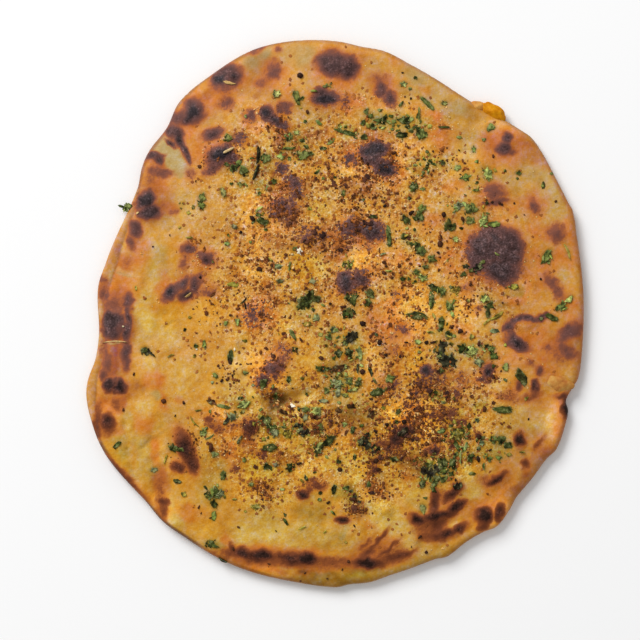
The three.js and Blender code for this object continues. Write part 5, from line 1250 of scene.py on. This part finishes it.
def crust_material():
    """Baked dough: its broad tone from the piece, the dough's own mottling, spice, grains and burns, with
    painted shade and highlights on the fine relief.
    """
    shader = Shader("crust")
    spice = shader.attribute("spice")
    dark_spice = shader.attribute("dark_spice")
    lower = shader.attribute("lower")
    fine = shader.noise("fine")
    grit = shader.noise("grit")
    soft = shader.noise("soft")
    colour = shader.attribute("tone", "Color")
    colour = shader.vary(colour, soft, SOFT_FACTORS)
    skin = shader.spread(shader.attribute("flaked"), 0, 0.8, 0.9, 0.15)
    colour = shader.vary(colour, shader.noise("cream"), CREAM_FACTORS, skin)
    streaks = shader.streaks(size=2.4, stretch=3.4, turn=38, seed=21.0)
    drawn = shader.spread(lower, 0.2, 1, 0.08, 0.75)
    drawn = shader.maths("MULTIPLY", shader.spread(spice, 0, 0.7, 0.8, 0.4), drawn)
    colour = shader.vary(colour, streaks, STREAK_FACTORS, drawn)
    colour = spice_mottle(shader, colour, spice, fine, grit)
    colour, grain_height = baked_grains(shader, colour, spice, dark_spice, shader.swing(0.9, grit))
    colour = burnt_crust(shader, colour, spice, fine, grit)
    crumb_height = shader.maths("MULTIPLY", fine, shader.spread(spice, 0, 0.7, 0.5, 2.2))
    height = shader.maths("ADD", grain_height, crumb_height)
    height = shader.maths("ADD", height, shader.maths("MULTIPLY", grit, 0.6))
    shader.bump(height, depth=0.3, strength=0.9)
    return shader.finish(colour, roughness=0.46, specular=shader.spread(spice, 0, 0.8, 0.06, 0.12))


def potato_material():
    """Moist mashed potato, yellow with turmeric."""
    shader = Shader("potato")
    lumps = shader.noise("potato")
    colour = shader.ramp(lumps, POTATO_TONES)
    distance, first, _ = shader.cells(size=1.3, seed=9.0)
    rare = shader.maths("LESS_THAN", first, 0.02)
    speck = shader.maths("MULTIPLY", rare, shader.spread(distance, 0.42, 0.26))
    colour = shader.mix(speck, colour, linear(POTATO_SPECK))
    dough = shader.ramp(shader.noise("baked"), BAKED_TONES)
    colour = shader.mix(shader.attribute("baked"), colour, dough)
    shader.bump(lumps, depth=0.5, strength=0.7)
    return shader.finish(colour, roughness=0.5, specular=0.06)


# Factors on a leaf's colour along the noise of its folds, which is also its bump: painted shade in the folds
# and painted highlights on the ridges
LEAF_FACTORS = [
    (0.38, (0.36, 0.34, 0.34)), (0.47, (0.86, 0.84, 0.84)), (0.54, (1.1, 1.1, 1.1)),
    (0.62, (1.4, 1.3, 1.3)),
]


def leaf_material():
    """Wilted, oily coriander, with painted shade in its folds and painted highlights on its ridges."""
    shader = Shader("coriander")
    folds = shader.noise("folds")
    colour = shader.attribute("tone", "Color")
    colour = shader.vary(colour, folds, LEAF_FACTORS)
    # Pale grey-green on the highest folds: painted highlights
    colour = shader.mix(shader.spread(folds, 0.53, 0.64, 0.0, 0.6), colour, linear(LEAF_HIGHLIGHT))
    shader.bump(folds, depth=0.4, strength=1.0)
    return shader.finish(colour, roughness=0.38, specular=0.06)


def spice_material(name, tones, roughness):
    """Crushed seeds, each grain with a tone of its own."""
    shader = Shader(name)
    tone = shader.attribute("tone_share")
    fine = shader.noise("stone")
    colour = shader.ramp(tone, tones)
    colour = shader.mix(1.0, colour, shader.spread(fine, 0.3, 0.7, 0.8, 1.2), "MULTIPLY")
    shader.bump(fine, depth=0.15, strength=0.6)
    return shader.finish(colour, roughness, specular=0.06)


# Pieces
def spice_clumps(x, y):
    """Where the spice lies thick, 1, and where the dough shows between, 0."""
    return smooth(layered_noise(x, y, 5, 91), -0.42, 0.42)


def leaf_shade_places():
    """Where shade is painted on the dough round each larger green leaf, as wide as the leaf and a little
    more.
    """
    places = []
    for tone in ("black", "dark", "mid", "light", "grey"):
        for x, y, length, width, turn in LEAVES[tone]:
            if width > 1.8:
                places.append((x, y, length * 1.05 + 0.6, width * 1.05 + 0.6, turn, 1))
    return places


def bread_tone(x, y):
    """The baked dough's colour at each place of the top, with painted shade round the leaves and at the tear,
    and painted light at the tear and on part of the rim.
    """
    bend_x, bend_y = bent(x, y, (1.8, 7), (0.9, 2.6), 41)
    broad = layered_noise(x, y, 12, 51)
    small = layered_noise(x, y, 4, 54)
    clumps = spice_clumps(x, y)
    peppered = tint_share(x, y, SPICE_PATCHES)
    base = np.repeat(linear(GOLD)[None, :], len(x), 0)
    base = blend(base, TINT_COLOURS["khaki"], smooth(broad, 0, 0.5) * 0.5)
    base = blend(base, WARM_GOLD, smooth(layered_noise(x, y, 9, 57), 0.05, 0.6) * 0.4)
    glow = burn_glow(x, y)
    for name, places in TINTS.items():
        # The burns' glow lies over the tones before olive and under the others
        if name == "olive":
            base = blend(base, ORANGE, glow * 0.55)
            base = blend(base, TINT_COLOURS["rust"], smooth(glow, 0.45, 0.95) * 0.44)
        share = tint_share(bend_x, bend_y, places)
        base = blend(base, TINT_COLOURS[name], share * np.clip(0.82 + 0.6 * small, 0, 1))
    base = blend(base, TINT_COLOURS["rust"], peppered * smooth(clumps, 0.6, 1) * 0.4)
    base = blend(base, TINT_COLOURS["pale"], peppered * smooth(clumps, 0.4, 0) * 0.35)
    # Painted shade round each larger leaf, which also softens its edge
    base = blend(base, LEAF_SHADE, 0.6 * tint_share(x, y, leaf_shade_places()))
    base = blend(base, TINT_COLOURS["flour"], patches(x, y, FLAKED, 0.3))
    # Lighter and darker places: mostly tone, with painted light and shade at the tear and on the bottom-left
    # rim
    for place in LIGHTER_AND_PAINTED_LIGHT:
        base *= 1 + soft_share(x, y, place)[:, None]
    yellower = smooth(y, 10, -70) * smooth(x, 100, 50)
    base[:, 2] *= 1 - 0.36 * yellower - 0.2 * peppered
    for place in YELLOWER:
        base[:, 2] *= 1 - soft_share(x, y, place)
    inside = inside_rim(x, y)
    rim_line = np.exp(-((inside / 1.2) ** 2))
    return blend(base, RIM_LINE, rim_line * 0.5)


# Stretches of the rim: from and to in degrees round from +X, width in mm, strength, colour
RIM_STRETCHES = [
    (98, 128, 1.6, 0.6, (150, 104, 66)), (128, 160, 1.8, 0.7, (140, 88, 60)),
    (62, 96, 1.6, 0.5, (176, 120, 66)), (40, 62, 1.6, 0.5, (176, 124, 64)),
    (-20, 38, 2.6, 0.5, (190, 112, 62)), (262, 280, 3.4, 0.6, (160, 116, 44)),
    (240, 262, 1.8, 0.6, (160, 96, 40)), (206, 240, 1.8, 0.8, (104, 66, 48)),
    (300, 328, 2, 0.4, (180, 112, 60)), (-34, -20, 2, 0.5, (168, 100, 58)),
]


def rim_tone(base, x, y):
    """Darker stretches along the rim."""
    inside = inside_rim(x, y)
    for from_degrees, to_degrees, width, share, colour in RIM_STRETCHES:
        angle = np.degrees(np.arctan2(y, x)) % 360
        middle = (from_degrees + to_degrees) / 2
        half = (to_degrees - from_degrees) / 2
        off = np.abs((angle - middle + 180) % 360 - 180)
        along = smooth(off, half + 3, half - 3)
        ragged = width * (1 + 0.35 * value_noise(x, y, 7, 61))
        base = blend(base, colour, along * smooth(inside, ragged, ragged * 0.45) * share)
    return base


def lip_tone(base, x, y):
    """The lower layer that shows as a second rim, tan and floury, with painted shade along the step onto it.
    """
    inside = inside_rim(x, y)
    lip = lip_width(x, y)
    on_lip = smooth(lip - inside, -0.4, 0.4) * (lip > 0.4)
    tan = 0.8 + 0.3 * value_noise(x, y, 3, 71)
    base = blend(base, LIP_TAN, on_lip * tan)
    base = blend(base, LIP_BROWN, on_lip * smooth(value_noise(x, y, 5, 73), 0.1, 0.7) * 0.8)
    base = blend(base, LIP_FLOUR, on_lip * smooth(value_noise(x, y, 4, 75), 0.2, 0.8) * 0.7)
    # A dark line where the upper layer steps down onto the lip: painted shade
    step_shade = np.exp(-(((inside - lip) / 0.7) ** 2)) * (lip > 0.8)
    return blend(base, LIP_STEP_SHADE, step_shade * 0.6)


UNDERSIDE_SPOTS = 60


def underside_spots(x, y):
    """Browned patches of the hidden side."""
    rng = np.random.default_rng(5)
    value = np.zeros_like(x)
    for _ in range(UNDERSIDE_SPOTS):
        angle = rng.uniform(0, 2 * math.pi)
        radius = 100 * math.sqrt(rng.uniform())
        middle = (radius * math.cos(angle), radius * math.sin(angle))
        place = (*middle, *rng.uniform(6, 18, 2), rng.uniform(0, 180))
        fade = np.clip(1.2 - np.sqrt(ellipse_share(x, y, place)), 0, 1)
        value = np.maximum(value, rng.uniform(0.4, 0.9) * smooth(fade, 0, 0.7))
    return value


def make_bread():
    upper = disc(CRUST_CELLS, reach)
    lower = disc(UNDERSIDE_CELLS, lambda angle: reach(angle) - UNDERCUT)
    x, y = upper[0], upper[1]
    low_x, low_y = lower[0], lower[1]
    points, faces = closed_disc(upper, crust(x, y), lower, underside(low_x, low_y))
    piece = make_piece("bread_crust", points, faces, crust_material())
    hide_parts("bread")
    none_below = np.zeros(len(low_x))
    top_tone = lip_tone(rim_tone(bread_tone(x, y), x, y), x, y)
    low_tone = blend(bread_tone(-low_x, low_y), UNDERSIDE, none_below + 0.4)
    keep_colour(piece, "tone", np.concatenate([top_tone, low_tone]))
    lip = lip_width(x, y)
    hidden = 1 - 0.25 * (inside_rim(x, y) < lip)
    keep_value(piece, "burn", np.concatenate([burn(x, y) * hidden, underside_spots(low_x, low_y)]))
    thick = (0.6 + 0.4 * spice_clumps(x, y)) * (1 - 0.8 * patches(x, y, BARE))
    spice = tint_share(x, y, SPICE_PATCHES) * thick
    dark_spice = tint_share(x, y, DARK_SPICE) * thick
    keep_value(piece, "lower", np.concatenate([smooth(y, 20, -50), none_below + 0.6]))
    keep_value(piece, "spice", np.concatenate([spice, none_below]))
    flaked = np.maximum(patches(x, y, FLAKED, 0.3), tint_share(x, y, TINTS["flour"]))
    keep_value(piece, "flaked", np.concatenate([flaked, none_below]))
    keep_value(piece, "dark_spice", np.concatenate([dark_spice, none_below]))


def potato_middle(x, y):
    return underside(x, y) + 0.5 * dome(inside_rim(x, y))


def potato_layer():
    def radius_at(angle):
        return reach(angle) - FILLING_INSET

    upper = disc(FILLING_CELLS, radius_at)
    lower = disc(FILLING_CELLS, radius_at)
    inside = radius_at(np.arctan2(upper[1], upper[0])) - np.hypot(upper[0], upper[1])
    half = FILLING_HALF * (0.4 + 0.6 * smooth(inside, 0, FILLING_INSET))
    middle = potato_middle(upper[0], upper[1])
    steps = (-2.5, 0, 2.5)
    lowest_crust = np.min([crust(upper[0] + dx, upper[1] + dy) for dx in steps for dy in steps], 0)
    top = np.minimum(middle + half, lowest_crust - COVER)
    return closed_disc(upper, top, lower, np.minimum(middle - half, top - 0.3))


def potato_lump(place, seed):
    """A lump of potato that has pushed out through the rim, with a crumbly surface."""
    x, y, z, length, width, height, turn = place
    rows, columns = 26, 44
    polar = np.linspace(0, math.pi, rows + 1)[1:-1, None]
    round_angle = np.linspace(0, 2 * math.pi, columns + 1)[None, :-1]
    u = (np.sin(polar) * np.cos(round_angle)).ravel()
    v = (np.sin(polar) * np.sin(round_angle)).ravel()
    w = (np.cos(polar) * np.ones_like(round_angle)).ravel()
    points = np.concatenate([[[0, 0, 1]], np.stack([u, v, w], -1), [[0, 0, -1]]])
    u, v, w = points.T
    uneven = 1 + 0.07 * np.sin(7 * u + 2) * np.cos(5 * v) + 0.05 * np.sin(6 * w + 1)
    uneven += 0.1 * layered_noise(u * length / 2 + 3 * w, v * width / 2 - 2 * w, 2.2, seed)
    u, v, w = u * uneven * length / 2, v * uneven * width / 2, w * uneven * height / 2
    placed = np.stack([*turned(x, y, u, v, turn), z + w], -1)
    faces = []
    last = len(placed) - 1
    for j in range(columns):
        after = (j + 1) % columns
        faces.append([0, 1 + j, 1 + after])
        faces.append([last, last - columns + after, last - columns + j])
        for i in range(rows - 2):
            row = 1 + i * columns
            faces.append([row + j, row + columns + j, row + columns + after, row + after])
    return placed, faces


def joined(parts):
    """One list of points and faces from several."""
    points = []
    faces = []
    offset = 0
    for part_points, part_faces in parts:
        points.append(part_points)
        faces += [[corner + offset for corner in face] for face in part_faces]
        offset += len(part_points)
    return np.concatenate(points), faces


def make_filling():
    parts = [potato_layer()]
    baked = [np.zeros(len(parts[0][0]))]
    for seed, (place, share) in enumerate(zip(OUTBREAKS, OUTBREAKS_BAKED)):
        parts.append(potato_lump(place, 80 + seed))
        baked.append(np.full(len(parts[-1][0]), share))
    points, faces = joined(parts)
    piece = make_piece("potato_filling", points, faces, potato_material())
    keep_value(piece, "baked", np.concatenate(baked))
    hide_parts("filling")


def leaf_sheet(rng, place, thickness=LEAF_THICKNESS):
    """One torn, crumpled leaf: points with their height above the crust, faces, how light each point is."""
    x, y, length, width, turn = place
    stalk = length > 2.4 * width and (width < 1.3 or (width < 1.6 and length > 4 * width))
    sectors, rings = (12, 2) if length < SMALL_LEAF else (26, 4)
    angle = 2 * math.pi * (np.arange(sectors) + 0.4 * rng.uniform(-1, 1, sectors)) / sectors
    lobes = rng.integers(3, 7)
    tips = 1 - np.abs(np.sin(lobes * angle / 2 + rng.uniform(0, math.pi))) ** 0.8
    depth = 0.18 if length > 1.9 * width else rng.uniform(0.3, 0.52)
    edge = 1.06 - depth + 1.15 * depth * tips + 0.15 * rng.uniform(-1, 1, sectors)
    if stalk:
        edge = 0.95 + 0.1 * rng.uniform(-1, 1, sectors)
    share = (np.arange(1, rings + 1) / rings)[:, None]
    along = np.concatenate([[0], (share * edge * np.cos(angle) * length / 2).ravel()])
    across = np.concatenate([[0], (share * edge * np.sin(angle) * width / 2).ravel()])
    if stalk:
        across = across + 0.12 * length * (1 - (2 * along / length) ** 2) * rng.uniform(-1, 1)
    px, py = turned(x, y, along, across, turn)
    seed = int(rng.integers(1, 10000))
    crumple = layered_noise(px, py, 1.5, seed) * min(0.8, 0.24 * width)
    away = np.hypot(along / length, across / width) * 2
    lift = 0.3 + 0.35 * away ** 2 * rng.uniform(-0.6, 1) * min(1, width / 3)
    top = np.maximum(lift + crumple, 0.18)
    if stalk:
        top = 0.15 + 0.7 * width * np.sqrt(np.clip(1 - (2 * across / width) ** 2, 0, 1))
    below = top - thickness
    points = np.concatenate([np.stack([px, py, top], -1), np.stack([px, py, below], -1)])
    # A point's brightness: tone that differs at random, and partly paler patches and a paler midline standing
    # in for lit facets and glossy veins, painted highlights
    contrast = 1 if length > 5 and length > 2 * width else 2.2
    light = 0.95 + contrast * layered_noise(px, py, 1.6, seed + 5) + 0.2 * rng.uniform(-1, 1)
    vein = np.exp(-((across / (0.09 * width + 0.12)) ** 2)) * (length > 3.4)
    light = light + 0.35 * vein
    return points, sheet_faces(sectors, rings), np.concatenate([light, light])


def sheet_faces(sectors, rings):
    """Faces of a thin round sheet: rings round a middle point, above and below, and the cut edge."""
    count = 1 + sectors * rings
    faces = []
    for j in range(sectors):
        after = (j + 1) % sectors
        faces.append([0, 1 + j, 1 + after])
        faces.append([count, count + 1 + after, count + 1 + j])
        for i in range(rings - 1):
            row = 1 + i * sectors
            face = [row + j, row + sectors + j, row + sectors + after, row + after]
            faces.append(face)
            faces.append([corner + count for corner in reversed(face)])
        outer = 1 + (rings - 1) * sectors
        faces.append([outer + j, count + outer + j, count + outer + after, outer + after])
    return faces


# The leaves' torn corners reach past the ellipses that they were read as
LEAF_GROWTH = 1.02

# The narrowest leaf that has scraps on it, and the number of chopped bits between the leaves
SCRAPS_FROM_WIDTH = 2.6
LEAF_BITS = 440

# How much lighter a leaf is that lies alone on the bare dough
PALER_ALONE = 0.4


def with_scraps(rng, place):
    """A leaf and, for a larger one, the torn scraps that lie on it and at its edge."""
    x, y, length, width, turn = place
    places = [(place, 1.0)]
    if width < SCRAPS_FROM_WIDTH or length > 2.2 * width:
        return places
    for _ in range(int(rng.integers(2, 3 + int(width)))):
        angle = rng.uniform(0, 2 * math.pi)
        reach_out = rng.uniform(0.15, 0.54) * math.hypot(length * math.cos(angle), width * math.sin(angle))
        direction = angle + math.radians(turn)
        scrap_x = x + reach_out * math.cos(direction)
        scrap_y = y + reach_out * math.sin(direction)
        size = rng.uniform(0.3, 0.62) * math.sqrt(length * width)
        scrap = (scrap_x, scrap_y, size, size * rng.uniform(0.22, 0.7), rng.uniform(0, 180))
        places.append((scrap, rng.uniform(0.5, 1.7)))
    return places


def leaf_bits(rng, count):
    """Small chopped bits between the larger leaves: each one's place, size and turn, and its tone."""
    def weight(x, y):
        return tint_share(x, y, TINTS["olive"]) + 0.01 * tint_share(x, y, SPICE_PATCHES)

    middles = scattered(rng, count, weight)
    lengths = 0.8 + 1.9 * rng.uniform(0, 1, count) ** 1.5
    widths = lengths * rng.uniform(0.35, 0.8, count)
    turns = rng.uniform(0, 180, count)
    tones = rng.choice(["dark", "mid", "mid", "light", "olive", "yellow"], count)
    return zip(tones, zip(middles[:, 0], middles[:, 1], lengths, widths, turns))


def make_coriander():
    rng = np.random.default_rng(17)
    sheets = []
    for tone, places in LEAVES.items():
        for place in places:
            for (x, y, length, width, turn), brightness in with_scraps(rng, place):
                grown = (x, y, length * LEAF_GROWTH, width * LEAF_GROWTH, turn)
                sheets.append((tone, grown, brightness))
    for tone, place in leaf_bits(rng, LEAF_BITS):
        sheets.append((tone, place, 1.0))
    parts = []
    tones = []
    for tone, place, brightness in sheets:
        points, faces, light = leaf_sheet(rng, place)
        parts.append((points, faces))
        spread = 1 - tint_share(np.array([place[0]]), np.array([place[1]]), SPICE_PATCHES)[0]
        if tone in ("black", "dark", "brown", "yellow"):
            spread = 0
        shift = brightness * (1 + PALER_ALONE * spread) * (1 + 0.1 * rng.uniform(-1, 1, 3))
        tones.append(linear(LEAF_TONES[tone]) * shift * np.clip(light, 0.34, 1.6)[:, None])
    points, faces = joined(parts)
    points[:, 2] += crust(points[:, 0], points[:, 1])
    piece = make_piece("coriander_leaves", points, faces, leaf_material())
    keep_colour(piece, "tone", np.concatenate(tones))


# Corners of a regular twenty-sided stone: how far each lies out, on one axis and on the next
STONE_LONG = 0.851
STONE_SHORT = 0.526

# How far a grain's middle lies above the crust, as a share of its size
GRAIN_LIFT = 0.16

# The stone's faces by its corners: five round each end, and ten between
STONE_FACES = [
    (0, 1, 4), (0, 4, 9), (9, 4, 5), (4, 8, 5), (4, 1, 8), (8, 1, 10), (8, 10, 3), (5, 8, 3), (5, 3, 2),
    (2, 3, 7), (7, 3, 10), (7, 10, 6), (7, 6, 11), (11, 6, 0), (0, 6, 1), (6, 10, 1), (9, 11, 0),
    (9, 2, 11), (9, 5, 2), (7, 11, 2),
]


def stone_corners():
    """The twelve corners of a stone, 1 mm out from its middle."""
    corners = [(a * STONE_SHORT, 0, b * STONE_LONG) for b in (1, -1) for a in (-1, 1)]
    corners += [(0, a * STONE_LONG, b * STONE_SHORT) for a in (1, -1) for b in (1, -1)]
    corners += [(a * STONE_LONG, b * STONE_SHORT, 0) for b in (1, -1) for a in (1, -1)]
    return np.array(corners)


def grains(rng, places, sizes, flatness=(0.45, 0.9)):
    """Crushed grains as uneven stones, part sunk in the crust: points, faces, tone of each point."""
    count = len(places)
    corners = stone_corners()
    shapes = corners[None] * (1 + 0.3 * rng.uniform(-1, 1, (count, len(corners), 1)))
    shapes = shapes * rng.uniform(0.55, 1.5, (count, 1, 3)) * sizes[:, None, None] / 2
    turn = rng.uniform(0, 2 * math.pi, count)[:, None]
    x = shapes[..., 0] * np.cos(turn) - shapes[..., 1] * np.sin(turn)
    y = shapes[..., 0] * np.sin(turn) + shapes[..., 1] * np.cos(turn)
    z = shapes[..., 2] * rng.uniform(*flatness, count)[:, None]
    ground = crust(places[:, 0], places[:, 1]) + GRAIN_LIFT * sizes
    points = np.stack([x + places[:, :1], y + places[:, 1:2], z + ground[:, None]], -1).reshape(-1, 3)
    first_corners = len(corners) * np.arange(count)[:, None, None]
    faces = (np.array(STONE_FACES)[None] + first_corners).reshape(-1, 3).tolist()
    return points, faces, np.repeat(rng.uniform(0, 1, count), len(corners))


CLEAR_OF_RIM = 3.5


def scattered(rng, count, weight):
    """Random places on the bread, as many as asked for, thick where the weight is high."""
    kept = np.zeros((0, 2))
    tries = 4 * count
    while len(kept) < count:
        x = rng.uniform(-100, 100, tries)
        y = rng.uniform(-110, 110, tries)
        chance = weight(x, y) * (inside_rim(x, y) > CLEAR_OF_RIM)
        chosen = rng.uniform(0, 1, tries) < chance
        kept = np.concatenate([kept, np.stack([x[chosen], y[chosen]], -1)])
    return kept[:count]


# Grains in a heap, and how far they lie from its middle
HEAP = 4
HEAP_SPREAD = 0.5


def spice_weight(x, y):
    clumps = spice_clumps(x, y)
    unburnt = 1 - smooth(burn(x, y), 0.2, 0.6)
    thick = patches(x, y, SPICE_PATCHES, 1.3) ** 1.5 * (0.1 + 0.9 * clumps) + 0.004
    return thick * unburnt * (1 - patches(x, y, BARE))


def dark_weight(x, y):
    dark = patches(x, y, DARK_SPICE, 1.4) ** 1.3 * (0.15 + 0.85 * spice_clumps(x, y))
    unburnt = 1 - 0.85 * smooth(burn(x, y), 0.4, 0.8)
    return dark * unburnt * (1 - patches(x, y, BARE)) + 0.12 * spice_weight(x, y)


def crumb_weight(x, y):
    dark = patches(x, y, DARK_SPICE, 1.3) ** 1.6 * (0.1 + 0.9 * spice_clumps(x, y))
    return dark * (1 - 0.9 * smooth(burn(x, y), 0.4, 0.8)) * (1 - patches(x, y, BARE))


# Loose spice: name, seed, number of grains, where it lies, smallest and largest size, tones, roughness
SPICES = [
    ("dark_spice", 41, 2700, dark_weight, (0.3, 1.4), DARK_GRAINS, 0.6),
    ("dark_crumbs", 53, 180, crumb_weight, (0.8, 2.2), CRUMBS, 0.6),
    ("brown_spice", 43, 1800, spice_weight, (0.25, 1.15), BROWN_GRAINS, 0.6),
    ("pale_spice", 47, 1800, spice_weight, (0.25, 0.9), PALE_GRAINS, 0.5),
]


def make_grains(name, seed, count, weight, size_range, tones, roughness):
    """Crushed spice in little heaps of a few grains each."""
    rng = np.random.default_rng(seed)
    places = np.repeat(scattered(rng, count // HEAP, weight), HEAP, 0)
    places = places + rng.normal(0, HEAP_SPREAD, places.shape)
    smallest, largest = size_range
    sizes = smallest + (largest - smallest) * rng.uniform(0, 1, count) ** 2
    points, faces, tone = grains(rng, places, sizes)
    piece = make_piece(name, points, faces, spice_material(name, tones, roughness), False)
    keep_value(piece, "tone_share", tone)


def make_seeds():
    rng = np.random.default_rng(29)
    rows = np.array(SEEDS, float)
    points, faces, tone = grains(rng, rows[:, :2], rows[:, 2] * 0.92, (0.6, 0.9))
    piece = make_piece("seeds", points, faces, spice_material("seeds", SEED_TONES, 0.4))
    keep_value(piece, "tone_share", tone)


def make_white_bits():
    rng = np.random.default_rng(31)
    parts = []
    shares = []
    for place in WHITE_BITS:
        points, faces, _ = leaf_sheet(rng, place[:5], ONION_THICKNESS)
        parts.append((points, faces))
        shares.append(np.full(len(points), place[5]))
    points, faces = joined(parts)
    points[:, 2] += crust(points[:, 0], points[:, 1])
    piece = make_piece("onion_bits", points, faces, spice_material("onion", ONION_TONES, 0.4))
    keep_value(piece, "tone_share", np.concatenate(shares))


# Stage

# The camera looks straight down: its height, and the picture's width at the height of the bread, in metres
CAMERA_HEIGHT = 0.9
BREAD_HEIGHT = 0.006
FRAME_WIDTH = 0.256
SENSOR = 36.0

# The middle of the picture, in millimetres
VIEW_X, VIEW_Y = -6.2, -2.4

# The floor reaches this far from the middle, in metres
FLOOR_SIDE = 4.0
FLOOR_TONE = (0.92, 0.92, 0.92)
ROOM_LIGHT = 0.5
LAMP_PLACE = (-1.42, 1.89, 1.85)
LAMP_SIZE = 1.4
LAMP_POWER = 84


def make_camera():
    camera = bpy.data.cameras.new("camera")
    camera.sensor_width = SENSOR
    camera.lens = SENSOR * (CAMERA_HEIGHT - BREAD_HEIGHT) / FRAME_WIDTH
    camera.clip_end = 10
    holder = bpy.data.objects.new("camera", camera)
    holder.location = ((VIEW_X + FRAME_SHIFT[0]) * MM, (VIEW_Y + FRAME_SHIFT[1]) * MM, CAMERA_HEIGHT)
    bpy.context.scene.collection.objects.link(holder)
    bpy.context.scene.camera = holder


def make_floor():
    shader = Shader("floor")
    material = shader.finish(FLOOR_TONE, roughness=0.9, specular=0.1)
    mesh = bpy.data.meshes.new("floor")
    corners = [(a * FLOOR_SIDE, b * FLOOR_SIDE, 0) for a, b in ((-1, -1), (1, -1), (1, 1), (-1, 1))]
    mesh.from_pydata(corners, [], [(0, 1, 2, 3)])
    mesh.materials.append(material)
    floor = bpy.data.objects.new("floor", mesh)
    bpy.context.scene.collection.objects.link(floor)


def make_light():
    world = bpy.data.worlds.new("studio")
    world.use_nodes = True
    world.node_tree.nodes["Background"].inputs["Color"].default_value = (1, 1, 1, 1)
    world.node_tree.nodes["Background"].inputs["Strength"].default_value = ROOM_LIGHT
    bpy.context.scene.world = world
    lamp = bpy.data.lights.new("key", "AREA")
    lamp.size = LAMP_SIZE
    lamp.energy = LAMP_POWER
    holder = bpy.data.objects.new("key", lamp)
    holder.location = LAMP_PLACE
    holder.rotation_euler = (-Vector(LAMP_PLACE)).to_track_quat("-Z", "Y").to_euler()
    bpy.context.scene.collection.objects.link(holder)


def main():
    make_bread()
    make_filling()
    make_coriander()
    make_seeds()
    make_white_bits()
    for row in SPICES:
        make_grains(*row)
    make_camera()
    make_floor()
    make_light()
    bpy.context.scene.view_settings.view_transform = "Standard"


main()
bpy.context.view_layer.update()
